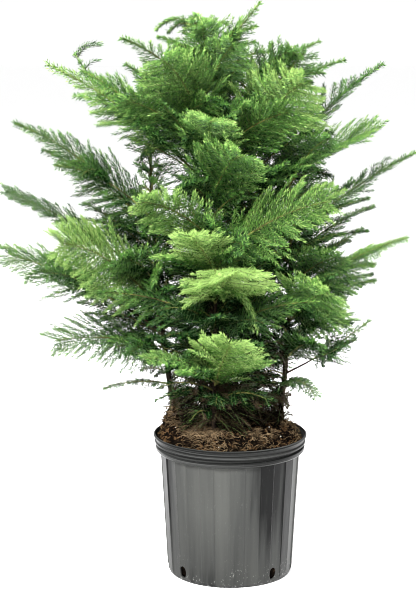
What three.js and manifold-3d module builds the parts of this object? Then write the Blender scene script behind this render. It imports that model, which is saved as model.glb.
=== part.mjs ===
// A young Norfolk Island pine: five stems from one root ball in a fluted nursery pot filled with bark mix.
// Millimetres, +Z up, front towards -Y. The origin is the middle of the pot's underside.

import * as THREE from "three";
import { mergeVertices } from "three/addons/utils/BufferGeometryUtils.js";
import Module from "manifold-3d";

const wasm = await Module();
wasm.setup();

// Clearance between pieces that touch on the real plant
const clearance = 0.3;
const soilClearance = 2;

// Pot: blow-moulded shell with flat flutes, a banded rim and four drain holes at the foot
const potHeight = 235;
const rimRadius = 127;
const rimBand = 16;
const rimGroove = 3;
const rimRing = 9;
const wallTopRadius = 115.5;
const wallFootRadius = 104.5;
const footCorner = 8;
const wall = 2.2;
const floorThickness = 3;
const flutePairs = 14;
const fluteDepth = 1.3;
const fluteStep = 0.06; // share of a pair taken by each sloping step
const drainHoles = 4;
const drainFirstBearing = -48;
const drainWidth = 15;
const drainHeight = 20;
const drainCentre = 16;

// Bark mix: full to the rim at the wall and heaped round the stems
const soilEdge = potHeight - 6;
const soilTop = potHeight + 8;
const soilFlatRadius = 103;
const soilSides = 40;

// Stems: foot and top places on the level, height of the top, how far the middle bows, and the foot's radius
const stemSides = 6;
const stemSteps = 8;
const stemTipRadius = 1.3;
const rootFlare = 1.5;
const flareHeight = 0.06; // share of the stem's length that widens into the flare
const stems = {
  left: { foot: [-90, 35], top: [-129, 31, 830], bow: [-15, 4], radius: 5.0 },
  right: { foot: [84, 44], top: [87, 31, 725], bow: [14, 3], radius: 4.8 },
  middle: { foot: [-9, 2], top: [-36, 0, 905], bow: [-14, 0], radius: 6.5 },
  front: { foot: [-27, -45], top: [-23, -62, 590], bow: [0, -4], radius: 4.5 },
  back: { foot: [24, 52], top: [34, 42, 850], bow: [2, 3], radius: 5.8 },
};

// Boughs, by stem. Each row is the longest bough of a whorl: height of its foot, compass bearing of its tip
// (0 front, 90 right, 180 back), reach of the tip from the stem, rise of the tip, how far the bough arches
// above the straight line, how many degrees its upper face leans to the front, how many degrees its sprays
// hang below that face, and the bare share of its length.
const boughs = {
  left: [
    [308, -62, 122, 9, 8, 10, 20, 0],
    [362, -57, 220, 42, 14, 25, 16, 0],
    [395, -69, 272, 146, 14, 38, 28, 0.3],
    [388, -134, 196, 60, 10, 0, 25, 0],
    [433, -36, 236, 124, 24, 25, 15, 0],
    [475, -71, 250, 165, 14, 38, 22, 0.28],
    [562, -73, 226, 176, 24, 40, 29, 0.26],
    [540, -148, 190, 76, 12, 0, 25, 0],
    [690, 38, 148, 92, 14, 10, 20, 0],
    [748, -103, 122, 116, -12, 20, 10, 0],
  ],
  right: [
    [308, 24, 114, 2, 14, 10, 20, 0],
    [324, 73, 140, 90, -6, 25, 5, 0.3],
    [409, 14, 212, 84, 16, 15, 20, 0],
    [451, 59, 207, 116, 4, 25, 10, 0],
    [482, 104, 126, 84, 4, 15, 20, 0],
    [515, 128, 190, 78, 14, 0, 25, 0],
    [551, 97, 211, 138, 4, 10, 2, 0],
    [604, 162, 185, 90, 10, 0, 25, 0],
    [640, 22, 150, 88, 14, 10, 20, 0],
    [692, 113, 184, 142, -8, 8, 4, 0],
  ],
  middle: [
    [600, 8, 205, 112, 26, 5, 20, 0],
    [646, -76, 254, 188, 20, 42, 26, 0.25],
    [690, -46, 168, 96, 16, 15, 20, 0],
    [676, 52, 165, 92, 16, 35, 15, 0],
    [726, -21, 182, 128, 24, 5, 20, 0],
    [774, -57, 156, 92, 10, 30, 22, 0],
    [792, 176, 140, 90, 8, 0, 25, 0],
    [842, 77, 86, 94, -4, 40, 15, 0],
    [869, -109, 88, 18, 24, 20, 15, 0],
  ],
  front: [
    [296, 44, 118, 26, 14, 10, 20, 0],
    [336, -40, 158, 60, 12, 15, 20, 0],
    [365, 21, 224, 62, 44, 5, 25, 0],
    [412, 70, 172, 62, 14, 25, 22, 0],
    [428, -76, 186, 58, 14, 30, 26, 0],
    [483, 25, 230, 38, 52, 5, 25, 0],
    [506, -24, 170, 74, 34, 5, 20, 0],
    [532, 51, 232, 122, 16, 40, 10, 0],
    [556, -48, 172, 86, 32, 10, 20, 0],
  ],
  back: [
    [332, 146, 190, 40, 10, 0, 25, 0],
    [404, -152, 216, 86, 12, 0, 25, 0],
    [476, 166, 236, 114, 14, 0, 25, 0],
    [578, -164, 232, 130, 14, 0, 25, 0],
    [625, 69, 197, 132, 6, 30, 15, 0],
    [694, 172, 194, 110, 12, 0, 25, 0],
    [706, 16, 210, 108, 22, 5, 20, 0],
    [748, 38, 130, 108, 6, 35, 18, 0],
    [772, 103, 158, 66, 8, 30, 20, 0],
    [814, 79, 110, 54, 4, 30, 20, 0],
  ],
};

// The two shorter boughs of a whorl leave the longest one near its foot and spread to either side of it
const sideFoot = 0.08; // share of the longest bough, counted from where its foliage starts
const sideTurn = 40;
const sideTurnScatter = 10;
const sideReach = [0.58, 0.8]; // least and most, as shares of the longest bough's reach and rise
const sideRise = [0.25, 0.6];
const sideArch = 0.7;
const loneRise = 12; // a bough that rises less than this has no side boughs

// Every bough tapers to its tip, with needle sprays in pairs on its two upper facets and one at its end
const limbSides = 5;
const limbSteps = 3;
const axisTipRadius = 0.9;
const axisFootRadius = 2.4;
const firstSpray = 0.1; // share of the bough from the start of its foliage
const endSpray = 24; // length of the spray that the axis runs out into
const mainPitch = 62;
const sidePitch = 80;
const sprayNeck = 9; // width of a spray where it leaves the axis
const sprayShare = 0.36; // longest spray as a share of the bough
const sprayShortest = 46;
const sprayLongest = 92;
const sprayWidth = 0.56; // share of the spray's length
const toothAt = 0.5; // shares of the spray's length
const notchAt = 0.57;
const notchDepth = 0.6; // share of the width left at the notch
const sprayOpening = 56; // degrees between the axis and a spray at the foot of the foliage
const sprayClosing = 20; // degrees less at the tip
const sprayRoll = 42; // degrees that a spray's upper face turns towards the stem
const sprayScatter = 7;

const radians = THREE.MathUtils.degToRad;
const up = new THREE.Vector3(0, 0, 1);
const backward = new THREE.Vector3(0, 1, 0);

// Seeded numbers from 0 to 1, the same for a bough each time
function seeded(seed) {
  let state = seed >>> 0;
  return () => {
    state = (state + 0x6d2b79f5) >>> 0;
    let mixed = Math.imul(state ^ (state >>> 15), state | 1);
    mixed ^= mixed + Math.imul(mixed ^ (mixed >>> 7), mixed | 61);
    return ((mixed ^ (mixed >>> 14)) >>> 0) / 4294967296;
  };
}

// A closed geometry as a solid that can be joined and cut
function solidOf(geometry) {
  const bare = new THREE.BufferGeometry();
  bare.setAttribute("position", geometry.getAttribute("position").clone());
  bare.setIndex(geometry.index);
  const merged = mergeVertices(bare, 1e-4);
  return new wasm.Manifold(
    new wasm.Mesh({
      numProp: 3,
      vertProperties: merged.attributes.position.array,
      triVerts: new Uint32Array(merged.index.array),
    }),
  );
}

function geometryOf(solid) {
  const mesh = solid.getMesh();
  const geometry = new THREE.BufferGeometry();
  geometry.setAttribute("position", new THREE.BufferAttribute(mesh.vertProperties, 3));
  geometry.setIndex(new THREE.BufferAttribute(mesh.triVerts, 1));
  geometry.computeVertexNormals();
  return geometry;
}

// What is left of a bough outside the stems, without the scrap on a stem's far side
function cut(solid) {
  return largestBody(sleeves.reduce((left, sleeve) => left.subtract(sleeve), solid));
}

function largestBody(solid) {
  return solid.decompose().sort((a, b) => b.volume() - a.volume())[0];
}

// Sections across a limb keep one fixed reference, so that they don't twist along it
function sectionAxes(tangent, reference) {
  const side = new THREE.Vector3().crossVectors(tangent, reference).normalize();
  return { side, over: new THREE.Vector3().crossVectors(side, tangent).normalize() };
}

// A tapering limb along a curve from share a to share b: a cylinder bent on to the curve
function limb(curve, from, to, radiusAt, sides, steps, reference) {
  const geometry = new THREE.CylinderGeometry(1, 1, 1, sides, steps);
  const place = geometry.getAttribute("position");
  for (let i = 0; i < place.count; i += 1) {
    const share = from + (to - from) * (place.getY(i) + 0.5);
    const { side, over } = sectionAxes(curve.getTangent(share), reference);
    const point = curve
      .getPoint(share)
      .addScaledVector(side, place.getX(i) * radiusAt(share))
      .addScaledVector(over, place.getZ(i) * radiusAt(share));
    place.setXYZ(i, point.x, point.y, point.z);
  }
  return geometry;
}

// Pot shell: a closed profile turned round the axis, its wall drawn in and out by the flutes
function potShell() {
  const bandFoot = potHeight - rimBand;
  const grooveFoot = bandFoot - rimGroove;
  const ringFoot = grooveFoot - rimRing;
  const wallTop = ringFoot - 4;
  const profile = [
    [0, 0],
    [wallFootRadius - footCorner, 0],
    [wallFootRadius - footCorner * 0.3, footCorner * 0.3],
    [wallFootRadius, footCorner],
    [wallTopRadius, wallTop],
    [rimRadius - 4.5, ringFoot],
    [rimRadius - 3.5, grooveFoot],
    [rimRadius - 6, grooveFoot + rimGroove / 2],
    [rimRadius - 1, bandFoot],
    [rimRadius, potHeight - 1.5],
    [rimRadius - 2.5, potHeight],
    [rimRadius - 8.4, grooveFoot],
    [wallTopRadius - wall, wallTop],
    [wallFootRadius - wall, footCorner],
    [wallFootRadius - footCorner, floorThickness],
    [0, floorThickness],
  ];
  const fluted = new Set([3, 4, 12, 13]);
  const columns = flutePairs * 4;
  const shell = new THREE.LatheGeometry(
    profile.map(([radius, z]) => new THREE.Vector2(radius, z)),
    columns,
  );
  const place = shell.getAttribute("position");
  for (let i = 0; i < place.count; i += 1) {
    const row = i % profile.length;
    const column = Math.floor(i / profile.length) % columns;
    const pair = Math.floor(column / 4);
    const corner = [0, 0.5 - fluteStep, 0.5, 1 - fluteStep][column % 4];
    const bearing = ((pair + corner) / flutePairs) * Math.PI * 2;
    const recess = fluted.has(row) && column % 4 > 1 ? fluteDepth : 0;
    const radius = profile[row][0] - recess;
    place.setXYZ(i, radius * Math.sin(bearing), -radius * Math.cos(bearing), profile[row][1]);
  }
  let solid = solidOf(shell);
  if (solid.volume() < 0) throw new Error("the pot's profile runs the wrong way round");
  for (let hole = 0; hole < drainHoles; hole += 1) {
    const bearing = radians(drainFirstBearing + (hole * 360) / drainHoles);
    const cutter = new THREE.CylinderGeometry(1, 1, 3 * footCorner, 12);
    cutter.scale(drainWidth / 2, 1, drainHeight / 2);
    cutter.translate(0, -wallFootRadius, 0);
    cutter.rotateZ(bearing);
    cutter.translate(0, 0, drainCentre);
    solid = solid.subtract(solidOf(cutter));
  }
  return geometryOf(solid);
}

// Bark mix: one turned solid inside the shell
function soilFill() {
  const drawnIn = wall + fluteDepth + 2 * clearance;
  const rise = (soilEdge - footCorner) / (potHeight - rimBand - rimGroove - rimRing - 4 - footCorner);
  const edgeRadius = wallFootRadius + (wallTopRadius - wallFootRadius) * Math.min(rise, 1) - drawnIn;
  const profile = [
    [0, floorThickness + clearance],
    [wallFootRadius - footCorner - 2, floorThickness + clearance],
    [wallFootRadius - drawnIn, footCorner + 2],
    [edgeRadius, soilEdge],
    [soilFlatRadius, soilTop],
    [0, soilTop],
  ];
  const fill = new THREE.LatheGeometry(
    profile.map(([radius, z]) => new THREE.Vector2(radius, z)),
    soilSides,
  );
  return fill.rotateX(Math.PI / 2);
}

// Stem: a bowed curve from a level cut on the soil to its tip
function stemCurve({ foot, top, bow }) {
  const low = new THREE.Vector3(foot[0], foot[1], soilTop + clearance);
  const high = new THREE.Vector3(...top);
  const middle = low.clone().lerp(high, 0.5);
  middle.x += 2 * bow[0];
  middle.y += 2 * bow[1];
  return new THREE.QuadraticBezierCurve3(low, middle, high);
}

function stemRadius(radius) {
  return (share) => {
    const flare = 1 + (rootFlare - 1) * Math.max(0, 1 - share / flareHeight) ** 2;
    return (stemTipRadius + (radius - stemTipRadius) * (1 - share)) * flare;
  };
}

// The foot's ring lies level, so that the stem's cut stands flat on the soil
function levelFoot(geometry, curve, radius) {
  const place = geometry.getAttribute("position");
  const foot = curve.getPoint(0);
  for (let i = 0; i < place.count; i += 1) {
    const near = Math.hypot(place.getX(i) - foot.x, place.getY(i) - foot.y, place.getZ(i) - foot.z);
    if (near < radius * rootFlare * 1.02) place.setZ(i, foot.z);
  }
  return geometry;
}

function shareAtHeight(curve, height) {
  let low = 0;
  let high = 1;
  for (let i = 0; i < 40; i += 1) {
    const middle = (low + high) / 2;
    if (curve.getPoint(middle).z < height) low = middle;
    else high = middle;
  }
  return low;
}

// Bough: an arched curve from its foot to its tip
function boughCurve(foot, bearing, reach, rise, arch) {
  const angle = radians(bearing);
  const tip = foot.clone().add(new THREE.Vector3(reach * Math.sin(angle), -reach * Math.cos(angle), rise));
  const middle = foot.clone().lerp(tip, 0.5);
  middle.z += 2 * arch;
  return new THREE.QuadraticBezierCurve3(foot, middle, tip);
}

function axisRadius(share) {
  return axisTipRadius + (axisFootRadius - axisTipRadius) * (1 - share);
}

// The plane that a bough's sprays spread in, its upper face leaning to the front
function boughPlane({ curve, lean }, share) {
  const along = curve.getTangent(share);
  const { side, over } = sectionAxes(along, up);
  const toFront = side.clone().multiplyScalar(side.y > 0 ? -1 : 1);
  const face = over.multiplyScalar(Math.cos(lean)).addScaledVector(toFront, Math.sin(lean));
  return { along, face, across: new THREE.Vector3().crossVectors(along, face).normalize() };
}

// Section of a bough's axis: a triangle with one corner up and the others to the right and left
function section(bough, share) {
  const { face, across } = boughPlane(bough, share);
  return [0, 120, 240].map((turn) =>
    bough.curve
      .getPoint(share)
      .addScaledVector(across, axisRadius(share) * Math.sin(radians(turn)))
      .addScaledVector(face, axisRadius(share) * Math.cos(radians(turn))),
  );
}

// Toothed edge of a spray, from its tooth on the side given round its tip to the tooth on the other side
function sprayEdge(root, along, side, length) {
  const half = (length * sprayWidth) / 2;
  const edge = [
    [half, toothAt],
    [half * notchDepth, notchAt],
    [0, 1],
    [-half * notchDepth, notchAt],
    [-half, toothAt],
  ];
  return edge.map(([out, share]) => {
    return root.clone().addScaledVector(along, share * length).addScaledVector(side, out);
  });
}

// Surface of a spray drawn out of the facet between two neighbouring corners of two sections
function sprayFaces([rearA, rearB, foreB, foreA], [rearTooth, rearNotch, tip, foreNotch, foreTooth]) {
  return [
    [rearA, rearTooth, rearNotch],
    [rearA, rearNotch, tip],
    [rearA, tip, foreA],
    [foreA, tip, foreNotch],
    [foreA, foreNotch, foreTooth],
    [foreB, foreTooth, foreNotch],
    [foreB, foreNotch, tip],
    [foreB, tip, rearB],
    [rearB, tip, rearNotch],
    [rearB, rearNotch, rearTooth],
    [rearA, rearB, rearTooth],
    [foreB, foreA, foreTooth],
  ];
}

function solidOfFaces(faces) {
  const geometry = new THREE.BufferGeometry().setFromPoints(faces.flat());
  return solidOf(geometry.setIndex([...Array(3 * faces.length).keys()]));
}

// Share of a bough's length where its axis runs out into the last spray
function axisEnd({ curve }) {
  return 1 - endSpray / curve.getLength();
}

// Shares of a bough's length where its pairs of sprays leave it
function pairShares(bough) {
  const first = bough.from + firstSpray;
  const room = axisEnd(bough) - first;
  const pairs = Math.max(1, Math.round((bough.curve.getLength() * room) / bough.pitch));
  return Array.from({ length: pairs }, (_, pair) => first + (room * (pair + 0.25)) / pairs);
}

// Sections in order along a bough: its start, either side of each pair's neck, and its end
function sectionShares(bough) {
  const neck = sprayNeck / 2 / bough.curve.getLength();
  return [bough.from, ...pairShares(bough).flatMap((at) => [at - neck, at + neck]), axisEnd(bough)];
}

// Every spray that a bough could carry, as the facet that it leaves and its toothed edge
function spraysOf(bough, random) {
  const scatter = () => radians((random() * 2 - 1) * sprayScatter);
  const longest = THREE.MathUtils.clamp(bough.curve.getLength() * sprayShare, sprayShortest, sprayLongest);
  const shares = sectionShares(bough);
  return pairShares(bough).flatMap((at, pair) => {
    const rear = section(bough, shares[2 * pair + 1]);
    const fore = section(bough, shares[2 * pair + 2]);
    const fullness = at < 0.35 ? 0.75 + 0.25 * (at / 0.35) : 1 - 0.62 * ((at - 0.35) / 0.65) ** 1.2;
    return [1, -1].map((hand) => {
      const { along, face, across } = boughPlane(bough, at);
      const opening = radians(sprayOpening - sprayClosing * at) + scatter();
      const drop = bough.hang + scatter();
      const out = across.multiplyScalar(hand * Math.cos(drop)).addScaledVector(face, -Math.sin(drop));
      const way = along.clone().multiplyScalar(Math.cos(opening)).addScaledVector(out, Math.sin(opening));
      const roll = radians(sprayRoll) + scatter();
      const upper = face.multiplyScalar(Math.cos(roll)).addScaledVector(along, -Math.sin(roll));
      const side = new THREE.Vector3().crossVectors(way, upper).normalize().multiplyScalar(hand);
      const edge = sprayEdge(bough.curve.getPoint(at), way, side, longest * fullness);
      const [a, b] = hand > 0 ? [0, 1] : [2, 0];
      return { pair, hand, facet: [rear[a], rear[b], fore[b], fore[a]], edge };
    });
  });
}

// A spray closed across its facet, as a solid of its own
function spraySolid({ facet, edge }) {
  const [rearA, rearB, foreB, foreA] = facet;
  return solidOfFaces([...sprayFaces(facet, edge), [rearA, foreA, foreB], [rearA, foreB, rearB]]);
}

// A bough as one closed surface, with the sprays that are kept drawn out of its facets
function boughSolid(bough, sprays) {
  const rings = sectionShares(bough).map((share) => section(bough, share));
  const [top, right, left] = rings[0];
  const faces = [[top, left, right]];
  for (let step = 0; step < rings.length - 1; step += 1) {
    for (let corner = 0; corner < 3; corner += 1) {
      const next = (corner + 1) % 3;
      const facet = [rings[step][corner], rings[step][next], rings[step + 1][next], rings[step + 1][corner]];
      const hand = [1, 0, -1][corner];
      const grown = sprays.find((spray) => 2 * spray.pair + 1 === step && spray.hand === hand);
      if (grown) faces.push(...sprayFaces(facet, grown.edge));
      else faces.push([facet[0], facet[1], facet[2]], [facet[0], facet[2], facet[3]]);
    }
  }
  const end = boughPlane(bough, axisEnd(bough));
  const [endTop, endRight, endLeft] = rings.at(-1);
  const root = bough.curve.getPoint(axisEnd(bough));
  const lastEdge = sprayEdge(root, end.along, end.across, endSpray);
  const [rightTooth, rightNotch, tip, leftNotch, leftTooth] = lastEdge;
  faces.push(
    [endTop, endRight, rightTooth],
    [endTop, rightTooth, rightNotch],
    [endTop, rightNotch, tip],
    [endTop, tip, leftNotch],
    [endTop, leftNotch, leftTooth],
    [endTop, leftTooth, endLeft],
    [endRight, endLeft, tip],
    [endLeft, leftTooth, leftNotch],
    [endLeft, leftNotch, tip],
    [endRight, tip, rightNotch],
    [endRight, rightNotch, rightTooth],
  );
  return solidOfFaces(faces);
}

// The side boughs of a whorl, on the foot of its longest bough
function sideBoughs(main, [, bearing, reach, rise, arch], random) {
  if (rise < loneRise) return [];
  const between = ([least, most]) => least + (most - least) * random();
  const foot = main.curve.getPoint(main.from + sideFoot * (1 - main.from));
  return [-1, 1].map((hand) => {
    const turn = hand * (sideTurn + sideTurnScatter * (random() * 2 - 1));
    const out = reach * between(sideReach);
    const lift = rise * between(sideRise);
    const curve = boughCurve(foot, bearing + turn, out, lift, arch * sideArch);
    return { ...main, curve, from: 0, pitch: sidePitch };
  });
}

const bark = new THREE.MeshStandardMaterial({ color: 0x4a3626, roughness: 0.9, metalness: 0 });
const needles = new THREE.MeshStandardMaterial({ color: 0x3f7a2c, roughness: 0.55, metalness: 0 });
const blackPlastic = new THREE.MeshStandardMaterial({ color: 0x3a3c3c, roughness: 0.45, metalness: 0 });
const barkMix = new THREE.MeshStandardMaterial({ color: 0x54402c, roughness: 0.95, metalness: 0 });

const plant = new THREE.Group();

function addNode(name, geometry, material) {
  const mesh = new THREE.Mesh(geometry, material);
  mesh.name = name;
  plant.add(mesh);
}

addNode("pot", potShell(), blackPlastic);
addNode("soil", soilFill(), barkMix);

// Stems, and for each a sleeve one clearance wider that its boughs are cut back to
const stemCurves = {};
const sleeves = [];
const placed = [];
for (const [name, shape] of Object.entries(stems)) {
  const curve = stemCurve(shape);
  const radiusAt = stemRadius(shape.radius);
  const geometry = limb(curve, 0, 1, radiusAt, stemSides, stemSteps, backward);
  const wider = (share) => radiusAt(share) + 1.2 * clearance;
  const sleeve = limb(curve, 0, 1, wider, stemSides, stemSteps, backward);
  stemCurves[name] = curve;
  sleeves.push(solidOf(sleeve));
  placed.push(sleeves.at(-1));
  addNode("stem_" + name, levelFoot(geometry, curve, shape.radius), bark);
}

// Boughs: the bare inner limb, where one shows, and the axes that carry the foliage
const masses = [];
for (const [name, rows] of Object.entries(boughs)) {
  rows.forEach((row, index) => {
    const [height, bearing, reach, rise, arch, lean, hang, bare] = row;
    const title = name + "_" + (index + 1);
    const random = seeded(masses.length + 1);
    const stem = stemCurves[name];
    const curve = boughCurve(stem.getPoint(shareAtHeight(stem, height)), bearing, reach, rise, arch);
    const from = bare > 0 ? bare + clearance / curve.getLength() : 0;
    const main = { curve, from, lean: radians(lean), hang: radians(hang), pitch: mainPitch };
    if (bare > 0) {
      const inner = cut(solidOf(limb(curve, 0, bare, axisRadius, limbSides, limbSteps, up)));
      addNode("bough_" + title, geometryOf(inner), bark);
      placed.push(inner);
    }
    const axis = cut(boughSolid(main, []));
    placed.push(axis);
    masses.push({ title, row, whorl: [main], limbs: [axis], random });
  });
}

// A bough or spray is left out where it would come within the clearance of anything but its own whorl's limbs
function standsClear(solid, whorlLimbs) {
  const box = solid.boundingBox();
  const apart = (other) =>
    [0, 1, 2].some((k) => box.min[k] > other.max[k] + clearance || box.max[k] < other.min[k] - clearance);
  const clearOf = (other) => apart(other.boundingBox()) || other.minGap(solid, 2 * clearance) > clearance;
  if (box.min[2] < soilTop + soilClearance) return false;
  return placed.every((other) => whorlLimbs.includes(other) || clearOf(other));
}

function keepClear(solid, whorlLimbs) {
  const clear = standsClear(solid, whorlLimbs);
  if (clear) placed.push(solid);
  return clear;
}

// Side boughs take their places before any spray
for (const { row, whorl, limbs, random } of masses) {
  for (const side of sideBoughs(whorl[0], row, random)) {
    const axis = boughSolid(side, []);
    if (!keepClear(axis, limbs)) continue;
    limbs.push(axis);
    whorl.push(side);
  }
}

// Foliage: the boughs of each whorl, grown with their sprays and joined
for (const { title, whorl, limbs, random } of masses) {
  const grown = whorl.map((bough) => {
    const kept = [];
    for (const spray of spraysOf(bough, random)) {
      const solid = spraySolid(spray);
      const partner = kept.filter((other) => other.pair === spray.pair).map((other) => other.solid);
      if (keepClear(solid, [...limbs, ...partner])) kept.push({ ...spray, solid });
    }
    return boughSolid(bough, kept);
  });
  addNode("foliage_" + title, geometryOf(cut(wasm.Manifold.union(grown))), needles);
}

export default plant;
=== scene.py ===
import math

import bmesh
import bpy
import numpy as np
from mathutils import Matrix, Vector, noise


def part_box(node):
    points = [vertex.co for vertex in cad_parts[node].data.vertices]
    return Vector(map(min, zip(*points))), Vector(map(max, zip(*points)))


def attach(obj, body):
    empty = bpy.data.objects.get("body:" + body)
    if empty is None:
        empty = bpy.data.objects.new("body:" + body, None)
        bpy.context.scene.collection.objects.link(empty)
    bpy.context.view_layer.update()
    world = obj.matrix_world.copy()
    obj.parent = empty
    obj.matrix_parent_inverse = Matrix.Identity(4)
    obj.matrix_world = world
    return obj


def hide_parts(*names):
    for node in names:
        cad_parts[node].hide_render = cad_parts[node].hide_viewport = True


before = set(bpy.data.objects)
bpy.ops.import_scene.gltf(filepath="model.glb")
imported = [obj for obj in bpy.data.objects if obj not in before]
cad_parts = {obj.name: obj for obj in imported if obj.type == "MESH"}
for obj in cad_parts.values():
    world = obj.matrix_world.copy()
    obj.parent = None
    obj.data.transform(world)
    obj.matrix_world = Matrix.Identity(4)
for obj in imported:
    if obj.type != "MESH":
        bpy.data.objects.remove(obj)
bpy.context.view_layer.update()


# Pot: a thin black nursery pot, blow moulded in one piece. A rolled rim band stands over a groove
# and a second ring, the wall is flat panels that step in and out, and oval drain holes are punched
# low in the wall.
MM = 0.001
SAME_PLACE = 0.001 * MM
POT_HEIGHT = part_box("pot")[1].z
RIM_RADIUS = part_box("pot")[1].x
WALL_TOP_RADIUS = 115.5 * MM
WALL_FOOT_RADIUS = 104.5 * MM
WALL_TOP = 203 * MM
WALL = 2.2 * MM
FOOT_CORNER = 8 * MM
CORNER_EASE = 0.3
FLOOR_THICKNESS = 3 * MM
RING_FOOT = POT_HEIGHT - 28 * MM
GROOVE_FOOT = POT_HEIGHT - 19 * MM
INSIDE_RIM_RADIUS = RIM_RADIUS - 8.4 * MM
# The rim from the ring's foot to the lip, in millimetres in from its edge and down from its top.
RIM_OUTLINE = [
    (5, 28),
    (3.5, 26),
    (3, 20.5),
    (7, 19),
    (7, 16),
    (2, 15),
    (2, 12),
    (4, 11),
    (3.5, 5),
    (0, 4),
    (0, 1.5),
    (2.5, 0),
]
RIM_ROUNDING = 0.6 * MM
ROUNDED_FROM_RADIUS = RIM_RADIUS - 7.5 * MM
FLUTE_PAIRS = 14
COLUMNS_PER_PAIR = 16
PANEL_SHARE = 7 / COLUMNS_PER_PAIR
FLUTE_DEPTH = 1.8 * MM
PANEL_SHARP_ANGLE = 16
DRAIN_HOLES = 4
DRAIN_FIRST_BEARING = math.radians(-48)
DRAIN_WIDTH = 15 * MM
DRAIN_HEIGHT = 20 * MM
DRAIN_CENTRE = 16 * MM
DRAIN_SIDES = 24
# Painted reflections: the wall's colour has broad light and dark bands round it by bearing, which fade out
# towards the foot. They lie over random panel tones and streaks, so the wall's shade and shine ends are
# partly painted.
PAINTED_REFLECTION_BANDS = 3
PAINTED_REFLECTION_PHASE = math.radians(60)
PAINTED_REFLECTION_FADE = (20 * MM, 130 * MM)
PAINTED_REFLECTION_TONES = (-0.18, 0.62)
PANEL_TONES = (0, 0.3)
STREAK_TONES = (0, 0.27)
WALL_SHADE = (0.002, 0.0021, 0.0021)
WALL_GREY = (0.027, 0.0278, 0.0265)
WALL_SHINE = (0.048, 0.049, 0.0455)
# The rim is painted darker than the wall as shade, with thin painted highlight lines round it.
RIM_PAINTED_SHADE = (0.003, 0.0032, 0.003)
RIM_PAINTED_HIGHLIGHT = (0.042, 0.043, 0.041)
SCUFF_GREY = (0.22, 0.22, 0.21)
SCUFF_HEIGHT = 50 * MM
SCUFFS_HIGHER_UP = 0.05
ROUGHNESS_BY_SHEEN = (0.28, 0.42)


def turned(profile, steps):
    """A shape turned round the upright axis from a profile of (radius, height) points."""
    shape = bmesh.new()
    points = [shape.verts.new((radius, 0, height)) for radius, height in profile]
    edges = [shape.edges.new(pair) for pair in zip(points, points[1:])]
    bmesh.ops.spin(
        shape,
        geom=points + edges,
        cent=(0, 0, 0),
        axis=(0, 0, 1),
        angle=math.tau,
        steps=steps,
        use_merge=True,
    )
    bmesh.ops.remove_doubles(shape, verts=shape.verts, dist=SAME_PLACE)
    bmesh.ops.recalc_face_normals(shape, faces=shape.faces)
    return shape


def mesh_from(name, shape):
    """A bmesh made a mesh."""
    mesh = bpy.data.meshes.new(name)
    shape.to_mesh(mesh)
    shape.free()
    return mesh


def placed(name, data):
    """A mesh, light or camera as an object in the scene."""
    made = bpy.data.objects.new(name, data)
    bpy.context.scene.collection.objects.link(made)
    return made


def piece(name, shape, material, slot, *nodes, sharp=None):
    """A bmesh or a mesh as a finished piece that rides on the plant and stands for the nodes given.
    With a sharp angle in degrees it is smooth, apart from the edges that are sharper than that."""
    if isinstance(shape, bmesh.types.BMesh):
        mesh = mesh_from(name, shape)
    else:
        mesh = shape
        mesh.name = name
    mesh.materials.clear()
    mesh.materials.append(material)
    if sharp is not None:
        mesh.shade_smooth()
        mesh.set_sharp_from_angle(angle=math.radians(sharp))
    made = placed(name, mesh)
    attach(made, "root")
    if nodes:
        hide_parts(*nodes)


def finish_of(name, colour, roughness, specular):
    """A material with a plain colour and gloss, its node tree and its shader."""
    material = bpy.data.materials.new(name)
    material.use_nodes = True
    shader = material.node_tree.nodes["Principled BSDF"]
    shader.inputs["Base Color"].default_value = (*colour, 1)
    shader.inputs["Roughness"].default_value = roughness
    shader.inputs["Specular IOR Level"].default_value = specular
    return material, material.node_tree, shader


def place_node(tree, stretch=(1, 1, 1)):
    """Object coordinates, stretched."""
    coordinates = tree.nodes.new("ShaderNodeTexCoord")
    mapping = tree.nodes.new("ShaderNodeMapping")
    mapping.inputs["Scale"].default_value = stretch
    tree.links.new(coordinates.outputs["Object"], mapping.inputs["Vector"])
    return mapping.outputs["Vector"]


def noise_node(tree, scale, stretch=(1, 1, 1), detail=4, roughness=0.55):
    """Cloudy noise on Object coordinates."""
    texture = tree.nodes.new("ShaderNodeTexNoise")
    texture.inputs["Scale"].default_value = scale
    texture.inputs["Detail"].default_value = detail
    texture.inputs["Roughness"].default_value = roughness
    tree.links.new(place_node(tree, stretch), texture.inputs["Vector"])
    return texture.outputs["Fac"]


def ramp_node(tree, value, *stops):
    """Colours along a ramp, each given as (position, (red, green, blue))."""
    ramp = tree.nodes.new("ShaderNodeValToRGB")
    while len(ramp.color_ramp.elements) < len(stops):
        ramp.color_ramp.elements.new(0.5)
    for element, (position, colour) in zip(ramp.color_ramp.elements, stops):
        element.position = position
        element.color = (*colour, 1)
    tree.links.new(value, ramp.inputs["Fac"])
    return ramp.outputs["Color"]


def range_node(tree, value, low, high, to_low=0.0, to_high=1.0):
    """A value taken from one range to another and held there."""
    mapped = tree.nodes.new("ShaderNodeMapRange")
    for socket, number in zip(mapped.inputs[1:5], (low, high, to_low, to_high)):
        socket.default_value = number
    tree.links.new(value, mapped.inputs["Value"])
    return mapped.outputs["Result"]


def mix_node(tree, share, first, second):
    """A colour between a node's colour and another node's or a plain one."""
    mix = tree.nodes.new("ShaderNodeMix")
    mix.data_type = "RGBA"
    # The sockets for colours come after those for numbers and vectors.
    from_socket, to_socket = mix.inputs[6:8]
    tree.links.new(share, mix.inputs["Factor"])
    tree.links.new(first, from_socket)
    if isinstance(second, tuple):
        to_socket.default_value = (*second, 1)
    else:
        tree.links.new(second, to_socket)
    return mix.outputs[2]


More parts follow.
